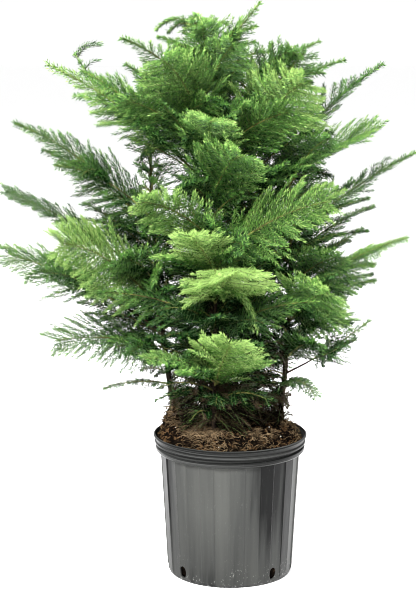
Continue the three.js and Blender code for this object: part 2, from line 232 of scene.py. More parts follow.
def math_node(tree, operation, *values):
    """A sum, product or function of other nodes' values."""
    worked = tree.nodes.new("ShaderNodeMath")
    worked.operation = operation
    for value, socket in zip(values, worked.inputs):
        tree.links.new(value, socket)
    return worked.outputs["Value"]


def xyz_node(tree, stretch=(1, 1, 1)):
    """Object coordinates as three values."""
    parted = tree.nodes.new("ShaderNodeSeparateXYZ")
    tree.links.new(place_node(tree, stretch), parted.inputs["Vector"])
    return parted.outputs


def bump_node(tree, shader, height, strength, distance):
    """Fine relief on a shader."""
    bump = tree.nodes.new("ShaderNodeBump")
    bump.inputs["Strength"].default_value = strength
    bump.inputs["Distance"].default_value = distance
    tree.links.new(height, bump.inputs["Height"])
    tree.links.new(bump.outputs["Normal"], shader.inputs["Normal"])


def panel_radius(radius, bearing):
    """Radius on the fluted wall: flat panels, every other one set in by the flute's depth."""
    pair = (bearing / math.tau * FLUTE_PAIRS) % 1
    column = round(pair * COLUMNS_PER_PAIR) % COLUMNS_PER_PAIR
    half_columns = COLUMNS_PER_PAIR // 2
    recessed = column >= half_columns
    panel = math.tau / FLUTE_PAIRS * PANEL_SHARE
    off_middle = math.tau / FLUTE_PAIRS * (column % half_columns) / COLUMNS_PER_PAIR - panel / 2
    flat = radius - (FLUTE_DEPTH if recessed else 0)
    return flat * math.cos(panel / 2) / math.cos(off_middle)


pot_profile = [
    (0, 0),
    (WALL_FOOT_RADIUS - FOOT_CORNER, 0),
    (WALL_FOOT_RADIUS - FOOT_CORNER * CORNER_EASE, FOOT_CORNER * CORNER_EASE),
    (WALL_FOOT_RADIUS, FOOT_CORNER),
    (WALL_TOP_RADIUS, WALL_TOP),
    *[(RIM_RADIUS - inward * MM, POT_HEIGHT - down * MM) for inward, down in RIM_OUTLINE],
    (INSIDE_RIM_RADIUS, GROOVE_FOOT),
    (WALL_TOP_RADIUS - WALL, WALL_TOP),
    (WALL_FOOT_RADIUS - WALL, FOOT_CORNER),
    (WALL_FOOT_RADIUS - FOOT_CORNER, FLOOR_THICKNESS),
    (0, FLOOR_THICKNESS),
]
pot_shape = turned(pot_profile, FLUTE_PAIRS * COLUMNS_PER_PAIR)
rim_edges = [
    edge
    for edge in pot_shape.edges
    if abs(edge.verts[0].co.z - edge.verts[1].co.z) < SAME_PLACE
    and edge.verts[0].co.z > RING_FOOT - 1 * MM
    and edge.verts[0].co.xy.length > ROUNDED_FROM_RADIUS
]
for vert in pot_shape.verts:
    off_wall_ends = min(abs(vert.co.z - FOOT_CORNER), abs(vert.co.z - WALL_TOP))
    if off_wall_ends < 10 * SAME_PLACE:
        bearing = math.atan2(vert.co.x, -vert.co.y)
        vert.co.xy *= panel_radius(vert.co.xy.length, bearing) / vert.co.xy.length
bmesh.ops.bevel(
    pot_shape,
    geom=rim_edges,
    offset=RIM_ROUNDING,
    offset_type="OFFSET",
    segments=2,
    profile=0.5,
    affect="EDGES",
    material=-1,
)

plastic, tree, shader = finish_of("black_moulded_plastic", WALL_GREY, roughness=0.36, specular=0.08)
spot = xyz_node(tree, (1, -1, 1))
around = math_node(tree, "ARCTAN2", spot["X"], spot["Y"])
half_column = 1 / COLUMNS_PER_PAIR
panel_place = range_node(tree, around, -math.pi, math.pi, half_column, 2 * FLUTE_PAIRS + half_column)
panel_chance = tree.nodes.new("ShaderNodeTexWhiteNoise")
panel_chance.noise_dimensions = "1D"
tree.links.new(math_node(tree, "FLOOR", panel_place), panel_chance.inputs["W"])
panels = range_node(tree, panel_chance.outputs["Value"], 0, 1, *PANEL_TONES)
# Painted reflection: light and dark bands by bearing, faded out towards the foot, added to the random panel
# tones and streaks.
painted_reflection_turn = [PAINTED_REFLECTION_BANDS * end + PAINTED_REFLECTION_PHASE for end in (-math.pi, math.pi)]
painted_reflection_waves = math_node(tree, "COSINE", range_node(tree, around, -math.pi, math.pi, *painted_reflection_turn))
faded_painted_reflection = math_node(tree, "MULTIPLY", painted_reflection_waves, range_node(tree, spot["Z"], *PAINTED_REFLECTION_FADE))
painted_reflection_bands = range_node(tree, faded_painted_reflection, -1, 1, *PAINTED_REFLECTION_TONES)
streaks = range_node(tree, noise_node(tree, scale=1, stretch=(90, 90, 2.5)), 0.3, 0.7, *STREAK_TONES)
painted_sheen_and_tone = math_node(tree, "ADD", math_node(tree, "ADD", painted_reflection_bands, panels), streaks)
wall_tone = ramp_node(tree, painted_sheen_and_tone, (0.2, WALL_SHADE), (0.45, WALL_GREY), (0.95, WALL_SHINE))
# Painted highlights: thin light lines round the rim, which is painted dark as shade.
painted_rim_highlights = noise_node(tree, scale=1, stretch=(4, 4, 620), detail=2)
painted_rim_tone = ramp_node(tree, painted_rim_highlights, (0.44, RIM_PAINTED_SHADE), (0.68, RIM_PAINTED_HIGHLIGHT))
on_rim = range_node(tree, spot["Z"], WALL_TOP, WALL_TOP + 3 * MM)
unscuffed_with_painted_light = mix_node(tree, on_rim, wall_tone, painted_rim_tone)
low_wall = range_node(tree, spot["Z"], SCUFF_HEIGHT, 0, SCUFFS_HIGHER_UP, 1)
specks = range_node(tree, noise_node(tree, scale=330, stretch=(1, 1, 0.6), detail=3), 0.61, 0.69)
patches = range_node(tree, noise_node(tree, scale=34, detail=2), 0.44, 0.58)
scuffs = math_node(tree, "MULTIPLY", math_node(tree, "MULTIPLY", specks, patches), low_wall)
tree.links.new(mix_node(tree, scuffs, unscuffed_with_painted_light, SCUFF_GREY), shader.inputs["Base Color"])
tree.links.new(range_node(tree, painted_sheen_and_tone, 0.1, 0.9, *ROUGHNESS_BY_SHEEN), shader.inputs["Roughness"])
ripples = noise_node(tree, scale=60, stretch=(1, 1, 0.35), detail=3)
bump_node(tree, shader, ripples, strength=0.1, distance=4 * MM)

drains = bmesh.new()
for hole in range(DRAIN_HOLES):
    bearing = DRAIN_FIRST_BEARING + math.tau * hole / DRAIN_HOLES
    punch = Matrix.Translation((0, 0, DRAIN_CENTRE)) @ Matrix.Rotation(bearing, 4, "Z")
    punch = punch @ Matrix.Translation((0, -WALL_FOOT_RADIUS, 0))
    punch = punch @ Matrix.Rotation(math.radians(90), 4, "X")
    bmesh.ops.create_cone(
        drains,
        cap_ends=True,
        segments=DRAIN_SIDES,
        radius1=1,
        radius2=1,
        depth=3 * FOOT_CORNER,
        matrix=punch @ Matrix.Diagonal((DRAIN_WIDTH / 2, DRAIN_HEIGHT / 2, 1, 1)),
    )
drain_punches = placed("drain_punches", mesh_from("drain_punches", drains))
pot_blank = placed("pot_blank", mesh_from("pot_blank", pot_shape))
punching = pot_blank.modifiers.new("punching", "BOOLEAN")
punching.operation = "DIFFERENCE"
punching.solver = "EXACT"
punching.object = drain_punches
punched = pot_blank.evaluated_get(bpy.context.evaluated_depsgraph_get())
pot_mesh = bpy.data.meshes.new_from_object(punched)
bpy.data.objects.remove(pot_blank)
bpy.data.objects.remove(drain_punches)
piece("pot_shell", pot_mesh, plastic, "pot", "pot", sharp=PANEL_SHARP_ANGLE)


# Soil: a fill of shredded bark and coir, heaped a little above the rim in the middle, mounded at
# the left stem and settled round the wall, with lumps and hollows in its top.
SOIL_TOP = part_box("soil")[1].z
SOIL_FOOT = FLOOR_THICKNESS + 0.4 * MM
SOIL_EDGE = POT_HEIGHT - 5 * MM
SOIL_EDGE_RADIUS = 120.5 * MM
SOIL_FLAT_RADIUS = 92 * MM
SOIL_HEAP = 6 * MM
KNOLL_PLACE = (-30 * MM, 30 * MM)
KNOLL_RADIUS = 70 * MM
KNOLL_HEIGHT = 6 * MM
MOUND_PLACE = (-98 * MM, 30 * MM)
MOUND_RADIUS = 50 * MM
MOUND_HEIGHT = 26 * MM
MOUND_EDGE = (SOIL_EDGE_RADIUS + 3 * MM, SOIL_EDGE_RADIUS - 14 * MM)
DIP_FROM_X = 95 * MM
DIP_TO_X = 118 * MM
DIP_DEPTH = 11 * MM
CLUMPS_PER_METRE = 34
CLUMP_HEIGHT = 5 * MM
CLUMP_SEED = 3.1
CRUMBS_PER_METRE = 150
CRUMB_HEIGHT = 3 * MM
CRUMB_SEED = 7.7
SETTLED_WIDTH = 14 * MM
SETTLED_SHARE = 0.75
# The side and foot of the fill, clear of the wall.
SOIL_SIDE = [
    (116 * MM, GROOVE_FOOT),
    (110.5 * MM, WALL_TOP),
    (101 * MM, FOOT_CORNER + 2 * MM),
    (94 * MM, SOIL_FOOT),
    (0, SOIL_FOOT),
]
SOIL_COLUMNS = 220
SOIL_RINGS = 50
SOIL_HOLLOW = (0.001, 0.0008, 0.0006)
SOIL_BROWN = (0.006, 0.004, 0.0025)
SOIL_CRUMB = (0.035, 0.022, 0.012)


def smooth_step(low, high, value):
    """A soft step from 0 to 1 between two values."""
    share = min(max((value - low) / (high - low), 0), 1)
    return share * share * (3 - 2 * share)


def soil_height(x, y):
    """Height of the soil's lumpy top."""
    radius = math.hypot(x, y)
    off_knoll = math.hypot(x - KNOLL_PLACE[0], y - KNOLL_PLACE[1])
    off_mound = math.hypot(x - MOUND_PLACE[0], y - MOUND_PLACE[1])
    full = smooth_step(SOIL_EDGE_RADIUS, SOIL_FLAT_RADIUS, radius)
    heap = SOIL_EDGE + (SOIL_TOP + SOIL_HEAP - SOIL_EDGE) * full
    heap += KNOLL_HEIGHT * smooth_step(KNOLL_RADIUS, 0, off_knoll)
    heap -= DIP_DEPTH * smooth_step(DIP_FROM_X, DIP_TO_X, x)
    heap += MOUND_HEIGHT * smooth_step(MOUND_RADIUS, 0, off_mound) * smooth_step(*MOUND_EDGE, radius)
    clumps = CLUMP_HEIGHT * noise.noise(Vector((x * CLUMPS_PER_METRE, y * CLUMPS_PER_METRE, CLUMP_SEED)))
    crumbs = CRUMB_HEIGHT * noise.noise(Vector((x * CRUMBS_PER_METRE, y * CRUMBS_PER_METRE, CRUMB_SEED)))
    settled = 1 - SETTLED_SHARE * smooth_step(SOIL_EDGE_RADIUS - SETTLED_WIDTH, SOIL_EDGE_RADIUS, radius)
    return heap + (clumps + crumbs) * settled


soil_rings = [(SOIL_EDGE_RADIUS * ring / SOIL_RINGS, SOIL_TOP) for ring in range(SOIL_RINGS + 1)]
soil_shape = turned(soil_rings + SOIL_SIDE, SOIL_COLUMNS)
for vert in soil_shape.verts:
    if vert.co.z > SOIL_TOP - 1 * MM:
        vert.co.z = soil_height(vert.co.x, vert.co.y)

bark_mix, tree, shader = finish_of("shredded_bark_mix", SOIL_BROWN, roughness=0.95, specular=0.01)
clods = noise_node(tree, scale=70, detail=5, roughness=0.7)
brown = ramp_node(tree, clods, (0.38, SOIL_HOLLOW), (0.54, SOIL_BROWN), (0.7, SOIL_CRUMB))
tree.links.new(brown, shader.inputs["Base Color"])
rubble = noise_node(tree, scale=240, detail=5, roughness=0.7)
bump_node(tree, shader, rubble, strength=0.9, distance=4 * MM)
piece("soil_fill", soil_shape, bark_mix, "soil", "soil", sharp=60)


# Bits of the mix that lie on top: broken bark chips, coir fibres in golden tangles and a few
# grains of white perlite, each half sunk in the soil.
CHIP_COUNT = 2200
CHIPS_INSIDE_EDGE = 1 * MM
CHIP_LENGTHS = (3 * MM, 10 * MM)
CHIP_THICKNESSES = (1 * MM, 2.5 * MM)
CHIP_SLIMNESS = (0.3, 0.6)
CHIP_CHIPPING = (-0.45, 0.2)
CHIP_LIE = (1, 1, 0.35)
CHIP_TILT = (0.5, 0.5, 1)
CHIP_KINDS = [
    ("chips_dark", 0.45, "dark_bark_chips", (0.0008, 0.0006, 0.0004), (0.007, 0.0045, 0.003)),
    ("chips_brown", 0.55, "brown_bark_chips", (0.01, 0.0055, 0.003), (0.1, 0.058, 0.028)),
]
FIBRE_COUNT = 5200
FIBRES_INSIDE_EDGE = 3 * MM
FIBRE_STEPS = 5
FIBRE_BENDS = (-1.3, 1.3)
FIBRE_LENGTHS = (8 * MM, 20 * MM)
FIBRE_LIFTS = (1 * MM, 5 * MM)
FIBRE_REST = 0.5 * MM
FIBRE_RADII = (0.6 * MM, 0.3 * MM)
FIBRE_SIDES = 3
TANGLES_PER_METRE = 22
TANGLE_SEED = 0.4
TANGLE_FROM = -0.1
STEEP_TUBE = 0.9
GRAIN_COUNT = 22
GRAINS_INSIDE_EDGE = 4 * MM
GRAIN_RADII = (0.7 * MM, 1.5 * MM)
GRAIN_DENTS = (-0.3 * MM, 0.3 * MM)
BOX_CORNERS = np.array([[x, y, z] for z in (-1, 1) for x, y in ((-1, -1), (1, -1), (1, 1), (-1, 1))], float)
BOX_FACES = np.array(
    [[0, 3, 2, 1], [4, 5, 6, 7], [0, 1, 5, 4], [1, 2, 6, 5], [2, 3, 7, 6], [3, 0, 4, 7]]
)
draw = np.random.default_rng(11)


def unit(vectors):
    """Vectors made one long."""
    return vectors / np.maximum(np.linalg.norm(vectors, axis=-1, keepdims=True), 1e-12)


def mesh_of(name, points, faces):
    """A mesh from an array of points and an array of faces that all have the same number of corners."""
    mesh = bpy.data.meshes.new(name)
    corners = faces.shape[1]
    mesh.vertices.add(len(points))
    mesh.vertices.foreach_set("co", np.ascontiguousarray(points, np.float32).ravel())
    mesh.loops.add(faces.size)
    mesh.loops.foreach_set("vertex_index", np.ascontiguousarray(faces, np.int32).ravel())
    mesh.polygons.add(len(faces))
    mesh.polygons.foreach_set("loop_start", np.arange(0, faces.size, corners, dtype=np.int32))
    mesh.update(calc_edges=True)
    return mesh


def repeated(faces, count, points_each):
    """The faces of one small thing, repeated for each of many."""
    return (faces[None] + (np.arange(count) * points_each)[:, None, None]).reshape(-1, faces.shape[1])


def tubes(paths, radii, sides):
    """Tapering tubes, closed at both ends by fans of triangles, along equally long rows of points."""
    count, steps = paths.shape[:2]
    along = unit(np.gradient(paths, axis=1))
    steep = np.abs(along[..., 2:3]) > STEEP_TUBE
    reference = np.where(steep, np.array([0.0, 1.0, 0.0]), np.array([0.0, 0.0, 1.0]))
    side = unit(np.cross(along, reference))
    over = np.cross(side, along)
    turn = np.arange(sides) * math.tau / sides
    ring = side[:, :, None] * np.cos(turn)[:, None] + over[:, :, None] * np.sin(turn)[:, None]
    points = (paths[:, :, None] + ring * radii[..., None, None]).reshape(-1, 3)
    at = np.arange(steps * sides).reshape(steps, sides)
    turned_on = np.roll(at, -1, axis=1)
    walls = np.stack([at[:-1], turned_on[:-1], turned_on[1:], at[1:]], axis=-1).reshape(-1, 4)
    triangles = np.concatenate([walls[:, [0, 1, 2]], walls[:, [0, 2, 3]]])
    first = np.stack([at[0, :1].repeat(sides - 2), at[0, 2:], at[0, 1:-1]], axis=-1)
    last = np.stack([at[-1, :1].repeat(sides - 2), at[-1, 1:-1], at[-1, 2:]], axis=-1)
    return points, repeated(np.concatenate([triangles, first, last]), count, steps * sides)


def on_soil(count, inside_edge):
    """Places scattered over the soil's top."""
    radius = (SOIL_EDGE_RADIUS - inside_edge) * np.sqrt(draw.random(count))
    bearing = draw.random(count) * math.tau
    x, y = radius * np.sin(bearing), -radius * np.cos(bearing)
    z = np.array([soil_height(a, b) for a, b in zip(x, y)])
    return np.stack([x, y, z], axis=-1)


def chips(count):
    """Broken flakes that lie at all angles, half sunk in the soil."""
    places = on_soil(count, CHIPS_INSIDE_EDGE)
    sizes = np.stack(
        [
            draw.uniform(*CHIP_LENGTHS, count),
            draw.uniform(*CHIP_LENGTHS, count) * draw.uniform(*CHIP_SLIMNESS, count),
            draw.uniform(*CHIP_THICKNESSES, count),
        ],
        axis=-1,
    )
    chipping = 1 + draw.uniform(*CHIP_CHIPPING, (count, len(BOX_CORNERS), 3))
    corners = BOX_CORNERS * chipping * sizes[:, None] / 2
    along = unit(draw.normal(size=(count, 3)) * CHIP_LIE)
    across = unit(np.cross(along, unit(draw.normal(size=(count, 3)) * CHIP_TILT)))
    over = np.cross(along, across)
    points = corners[..., :1] * along[:, None]
    points = points + corners[..., 1:2] * across[:, None]
    points = points + corners[..., 2:] * over[:, None]
    return (points + places[:, None]).reshape(-1, 3), repeated(BOX_FACES, count, len(BOX_CORNERS))


def litter_finish(name, dark, pale, scale):
    """A dull, rough finish that changes from dark to pale."""
    material, tree, shader = finish_of(name, pale, roughness=0.9, specular=0.015)
    tone = ramp_node(tree, noise_node(tree, scale=scale, detail=2), (0.35, dark), (0.65, pale))
    tree.links.new(tone, shader.inputs["Base Color"])
    bump_node(tree, shader, noise_node(tree, scale=900, detail=3), strength=0.6, distance=1 * MM)
    return material


for name, share, finish, dark, pale in CHIP_KINDS:
    chip_mesh = mesh_of(name, *chips(int(CHIP_COUNT * share)))
    piece(name, chip_mesh, litter_finish(finish, dark, pale, scale=90), "soil")

places = on_soil(FIBRE_COUNT, FIBRES_INSIDE_EDGE)
tangle = np.array(
    [noise.noise(Vector((x * TANGLES_PER_METRE, y * TANGLES_PER_METRE, TANGLE_SEED))) for x, y, _ in places]
)
places = places[tangle > TANGLE_FROM]
heading = draw.random(len(places)) * math.tau
bend = draw.uniform(*FIBRE_BENDS, len(places))
fibre_length = draw.uniform(*FIBRE_LENGTHS, len(places))
steps = np.linspace(0, 1, FIBRE_STEPS)
turn = heading[:, None] + bend[:, None] * steps
stride = fibre_length[:, None] / (FIBRE_STEPS - 1)
lift = draw.uniform(*FIBRE_LIFTS, len(places))[:, None] * np.sin(steps * math.pi) + FIBRE_REST
wander_x = np.cumsum(np.cos(turn) * stride, axis=1)
wander_y = np.cumsum(np.sin(turn) * stride, axis=1)
paths = places[:, None] + np.stack([wander_x, wander_y, lift], axis=-1)
paths = paths[np.linalg.norm(paths[..., :2], axis=-1).max(axis=1) < SOIL_EDGE_RADIUS]
radii = np.linspace(*FIBRE_RADII, FIBRE_STEPS)[None].repeat(len(paths), axis=0)
coir = litter_finish("golden_coir_fibre", (0.006, 0.004, 0.0025), (0.25, 0.175, 0.098), scale=60)
piece("coir_fibres", mesh_of("coir_fibres", *tubes(paths, radii, FIBRE_SIDES)), coir, "soil")

grains = bmesh.new()
for x, y, z in on_soil(GRAIN_COUNT, GRAINS_INSIDE_EDGE):
    size = draw.uniform(*GRAIN_RADII)
    half_out = Matrix.Translation((x, y, z + size / 2))
    bmesh.ops.create_icosphere(grains, subdivisions=1, radius=size, matrix=half_out)
for vert in grains.verts:
    vert.co += Vector(draw.uniform(*GRAIN_DENTS, 3))
perlite = litter_finish("white_perlite", (0.55, 0.53, 0.48), (0.85, 0.84, 0.8), scale=500)
piece("perlite_grains", grains, perlite, "soil")


# Stems: five young trunks of one clump, upright and a little bowed, in thin grey-brown bark with
# rings of old leaf bases, each standing on the soil with a slight flare. Their feet, tops, bows and
# radii are in millimetres.
STEMS = {
    "left": {"foot": (-90, 35), "top": (-129, 31, 830), "bow": (-15, 4), "radius": 5.0},
    "right": {"foot": (84, 44), "top": (87, 31, 725), "bow": (14, 3), "radius": 4.8},
    "middle": {"foot": (-9, 2), "top": (-36, 0, 905), "bow": (-14, 0), "radius": 6.5},
    "front": {"foot": (-27, -45), "top": (-23, -62, 590), "bow": (0, -4), "radius": 4.5},
    "back": {"foot": (24, 52), "top": (34, 42, 850), "bow": (2, 3), "radius": 5.8},
}
STEM_FOOT = SOIL_TOP + 0.3 * MM
STEM_TIP_RADIUS = 1.3
ROOT_FLARE = 1.5
FLARE_SHARE = 0.06
STEM_SIDES = 14
STEM_RINGS = 230
STEM_SEED_STEP = 9.7
CURVE_SAMPLES = 60
HEIGHT_SAMPLES = 2001
STEEP_LIMB = 0.8
BARK_GRAIN = 0.16
BARK_GRAINS_PER_METRE = 260
BARK_SCALES = 0.1
BARK_SCALES_ACROSS = 2.2
BARK_SCALE_ROWS_PER_METRE = 190
BARK_SHARP_ANGLE = 70
BARK_CRACK = (0.004, 0.003, 0.0022)
BARK_BROWN = (0.018, 0.0115, 0.007)
BARK_FLAKE = (0.08, 0.053, 0.03)
YOUNG_BARK = (0.05, 0.055, 0.016)
YOUNG_HEIGHTS = (500 * MM, 860 * MM)


class Curve:
    """A curve with one bend, from its foot by a middle point to its tip, in metres."""

    def __init__(self, foot, middle, tip):
        self.foot, self.middle, self.tip = (np.asarray(point, float) for point in (foot, middle, tip))
        samples = self.points(np.linspace(0, 1, CURVE_SAMPLES))
        self.length = float(np.linalg.norm(np.diff(samples, axis=0), axis=1).sum())

    def points(self, shares):
        """Points at shares of the way from foot to tip."""
        share = np.asarray(shares, float)[..., None]
        return self.foot * (1 - share) ** 2 + self.middle * 2 * share * (1 - share) + self.tip * share**2

    def tangents(self, shares):
        """Directions at those shares."""
        share = np.asarray(shares, float)[..., None]
        return unit((self.middle - self.foot) * (1 - share) + (self.tip - self.middle) * share)

    def at_height(self, height):
        """The point at a height."""
        shares = np.linspace(0, 1, HEIGHT_SAMPLES)
        return self.points(np.interp(height, self.points(shares)[:, 2], shares))


def stem_curve(shape):
    """A stem's middle line."""
    foot = np.array([shape["foot"][0] * MM, shape["foot"][1] * MM, STEM_FOOT])
    top = np.array(shape["top"]) * MM
    bow = np.array([*shape["bow"], 0]) * MM
    return Curve(foot, (foot + top) / 2 + 2 * bow, top)


def bark_tube(curve, end, radius_at, sides, rings, seed):
    """A limb as a bmesh cylinder bent on to a curve, its skin roughened by scales and cracks."""
    limb = bmesh.new()
    bmesh.ops.create_cone(limb, cap_ends=True, segments=sides, radius1=1, radius2=1, depth=1)
    upright = [edge for edge in limb.edges if abs(edge.verts[0].co.z - edge.verts[1].co.z) > 0.5]
    bmesh.ops.subdivide_edges(limb, edges=upright, cuts=rings)
    for vert in limb.verts:
        share = end * (vert.co.z + 0.5)
        point = Vector(curve.points(share))
        along = Vector(curve.tangents(share))
        reference = Vector((0, 1, 0)) if abs(along.z) > STEEP_LIMB else Vector((0, 0, 1))
        side = along.cross(reference).normalized()
        over = side.cross(along)
        way = side * vert.co.x + over * vert.co.y
        radius = radius_at(share)
        grain = noise.noise((point + way * radius) * BARK_GRAINS_PER_METRE + Vector((seed, 0, 0)))
        round_limb = way * BARK_SCALES_ACROSS
        row = point.z * BARK_SCALE_ROWS_PER_METRE
        scale = noise.cell(Vector((round_limb.x + seed, round_limb.y, row)))
        vert.co = point + way * radius * (1 + BARK_GRAIN * grain + BARK_SCALES * scale)
    return limb


def stem_radius(radius):
    """How thick a stem is along its length: flared at the foot and tapered to the tip."""

    def at(share):
        flare = 1 + (ROOT_FLARE - 1) * max(0, 1 - share / FLARE_SHARE) ** 2
        return (STEM_TIP_RADIUS + (radius - STEM_TIP_RADIUS) * (1 - share)) * flare * MM

    return at


stem_bark, tree, shader = finish_of("young_pine_bark", BARK_BROWN, roughness=0.9, specular=0.2)
flakes = noise_node(tree, scale=190, stretch=(1, 1, 0.5), detail=5, roughness=0.7)
woody = ramp_node(tree, flakes, (0.34, BARK_CRACK), (0.52, BARK_BROWN), (0.7, BARK_FLAKE))
young = range_node(tree, xyz_node(tree)["Z"], *YOUNG_HEIGHTS)
tree.links.new(mix_node(tree, young, woody, YOUNG_BARK), shader.inputs["Base Color"])
leaf_bases = noise_node(tree, scale=420, stretch=(1, 1, 2.5))
bump_node(tree, shader, leaf_bases, strength=0.8, distance=1.5 * MM)

stem_curves = {name: stem_curve(shape) for name, shape in STEMS.items()}
for number, (name, curve) in enumerate(stem_curves.items()):
    radius_at = stem_radius(STEMS[name]["radius"])
    stem = bark_tube(curve, 1, radius_at, STEM_SIDES, STEM_RINGS, number * STEM_SEED_STEP)
    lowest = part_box("stem_" + name)[0].z
    for vert in stem.verts:
        vert.co.z = max(vert.co.z, lowest)
    piece("bark_stem_" + name, stem, stem_bark, "bark", "stem_" + name, sharp=BARK_SHARP_ANGLE)


# Boughs: arched limbs in whorls of three, each with one long bough and a shorter one to either
# side near its foot. The inner part is bare bark, and the rest is the rib of a flat frond.
# A row has the foot's height on its stem, the bearing in degrees (0 to the front, 90 to the right),
# reach, rise and arch in millimetres, how far the frond's upper face leans to the front (below 0 to
# the back) and its sprays hang in degrees, the bare share, how bright the needles are (0 is dark,
# 1 is young) and how long the sprays are. How bright holds painted light and shade as well as the
# green: whorls facing the front are painted brighter, and those at the back darker.
BOUGHS = {
    "left": [
        (308, -62, 122, 5, 8, 10, 12, 0, 0.34, 0.45),
        (362, -57, 204, 42, 14, 38, 2, 0, 0.47, 0.98),
        (395, -69, 258, 146, 14, 40, 10, 0.3, 0.46, 0.85),
        (388, -134, 196, 60, 10, 30, 10, 0, 0.44, 1.0),
        (433, -38, 236, 138, 24, 72, 10, 0, 0.86, 0.95),
        (475, -71, 250, 165, 14, 32, -6, 0.28, 0.3, 0.5),
        (562, -73, 226, 184, 26, 46, 0, 0.26, 0.42, 0.98),
        (540, -148, 190, 76, 12, 30, 10, 0, 0.46, 1.0),
        (690, 38, 148, 92, 14, -50, 0, 0, 0.5, 1.0),
        (748, -103, 127, 106, -22, 20, -10, 0, 0.42, 0.8),
    ],
    "right": [
        (308, 24, 114, 2, 14, 20, 11, 0, 0.4, 0.5),
        (324, 73, 142, 98, -6, 35, -4, 0.3, 0.46, 1.2),
        (409, 14, 212, 84, 16, -40, 0, 0, 0.7, 1.0),
        (451, 59, 207, 117, 12, 28, 20, 0, 0.6, 1.1),
        (482, 104, 126, 84, 4, 20, 5, 0, 0.4, 0.7),
        (515, 128, 190, 78, 14, 0, -10, 0, 0.34, 0.6),
        (551, 97, 209, 142, 12, 12, -10, 0, 0.4, 0.72),
        (604, 162, 185, 90, 10, 30, 10, 0, 0.46, 1.0),
        (640, 22, 150, 88, 14, -45, 0, 0, 0.42, 0.65),
        (692, 113, 178, 144, 14, 10, -24, 0, 0.34, 0.85),
    ],
    "middle": [
        (600, 14, 205, 108, 20, -34, -10, 0, 0.62, 0.95),
        (646, -76, 254, 193, 20, 50, 0, 0.25, 0.76, 1.15),
        (690, -46, 168, 96, 16, -50, 0, 0, 0.54, 1.0),
        (676, 52, 165, 92, 16, -48, 0, 0, 0.52, 1.0),
        (726, -21, 182, 122, 20, -38, 0, 0, 0.67, 1.05),
        (774, -57, 156, 106, 16, -55, 0, 0, 0.57, 0.8),
        (792, 176, 140, 90, 8, 20, 10, 0, 0.54, 1.0),
        (842, 77, 86, 94, -4, 45, 8, 0, 0.58, 1.2),
        (869, -109, 88, 24, 28, 25, 4, 0, 0.5, 0.45),
    ],
    "front": [
        (296, 44, 118, 26, 14, 20, 11, 0, 0.0, 0.8),
        (336, -40, 158, 60, 12, 20, 5, 0, 0.6, 0.6),
        (324, 8, 170, 104, 6, -14, -12, 0, 0.94, 1.1),
        (412, 70, 172, 62, 14, 35, 12, 0, 0.46, 1.0),
        (428, -76, 186, 58, 14, 35, 14, 0, 0.32, 1.0),
        (462, 9, 188, 82, 14, 0, 14, 0, 1.16, 1.25),
        (506, -14, 160, 84, 8, -6, -14, 0, 1.02, 1.0),
        (532, 51, 216, 108, 16, 60, 4, 0, 0.72, 0.92),
        (556, -42, 170, 82, 16, -50, 0, 0, 0.78, 0.85),
    ],
    "back": [
        (332, 146, 190, 40, 10, 30, 10, 0, 0.42, 1.0),
        (404, -152, 216, 86, 12, 30, 10, 0, 0.46, 1.0),
        (476, 166, 236, 114, 14, 20, 10, 0, 0.52, 1.0),
        (578, -164, 232, 130, 14, 20, 10, 0, 0.54, 1.0),
        (620, 69, 203, 112, 6, 24, -20, 0, 0.58, 1.05),
        (694, 172, 194, 110, 12, 20, 10, 0, 0.54, 1.0),
        (706, 20, 210, 108, 12, -42, 0, 0, 0.86, 1.15),
        (748, 38, 130, 108, 6, -40, 0, 0, 0.46, 0.9),
        (772, 103, 158, 72, 8, 20, -12, 0, 0.5, 0.9),
        (814, 79, 110, 60, 4, 25, -8, 0, 0.54, 0.9),
    ],
}
# Whorls that point to the front, and the broad ones, have rounded fronds with close sprays. Some
# more have close or dense sprays, some have short and low side boughs, and flat ones have none.
FRONT_BEARING = 55
BROAD_WHORLS = ("back_5", "left_2", "left_3", "left_6")
CLOSE_WHORLS = ("left_7", "right_4")
DENSE_WHORLS = ("left_5",)
SHORT_SIDED_WHORLS = ("left_6", "left_7", "right_8", "right_9", "right_10", "middle_6")
SPRAY_PITCH = 8.5 * MM
CLOSE_SPRAY_PITCH = 6.5 * MM
DENSE_SPRAY_PITCH = 5 * MM
FLAT_RISE = 12
SIDE_FOOT = 0.08
SIDE_TURN = 40
SIDE_TURN_SCATTER = 10
SIDE_REACH = (0.58, 0.8)
SIDE_RISE = (0.25, 0.6)
SIDE_ARCH = 0.7
SIDE_SPAN = 0.75
ROUNDED_SIDE_REACH = 0.8
SHORT_SIDE_REACH = 0.55
SHORT_SIDE_RISE = 0.3
SIDE_DIMMER = 0.2
FRONT_SIDE_DIMMER = 0.34
DIMMEST_SIDE = 0.05
DRY_BRIGHT = 0.15
DRY_SHARE = 0.6
RIB_FOOT_RADIUS = 1.7 * MM
RIB_TIP_RADIUS = 0.5 * MM
BOUGH_SIDES = 10
BOUGH_RINGS = 40
BOUGH_SEED_STEP = 3.3
BARE_OVERLAP = 0.04


def seeded(seed):
    """Seeded numbers from 0 to 1, the same for a whorl each time."""
    word = 0xFFFFFFFF
    state = seed
    while True:
        state = (state + 0x6D2B79F5) & word
        mixed = ((state ^ (state >> 15)) * (state | 1)) & word
        mixed ^= (mixed + (((mixed ^ (mixed >> 7)) * (mixed | 61)) & word)) & word
        yield ((mixed ^ (mixed >> 14)) & word) / 2**32


def between(ends, share):
    """The value at a share of the way from one end to the other."""
    return ends[0] + (ends[1] - ends[0]) * share


def bough_curve(foot, bearing, reach, rise, arch):
    """A bough's middle line."""
    angle = math.radians(bearing)
    tip = foot + np.array([reach * math.sin(angle), -reach * math.cos(angle), rise]) * MM
    return Curve(foot, (foot + tip) / 2 + np.array([0, 0, 2 * arch * MM]), tip)


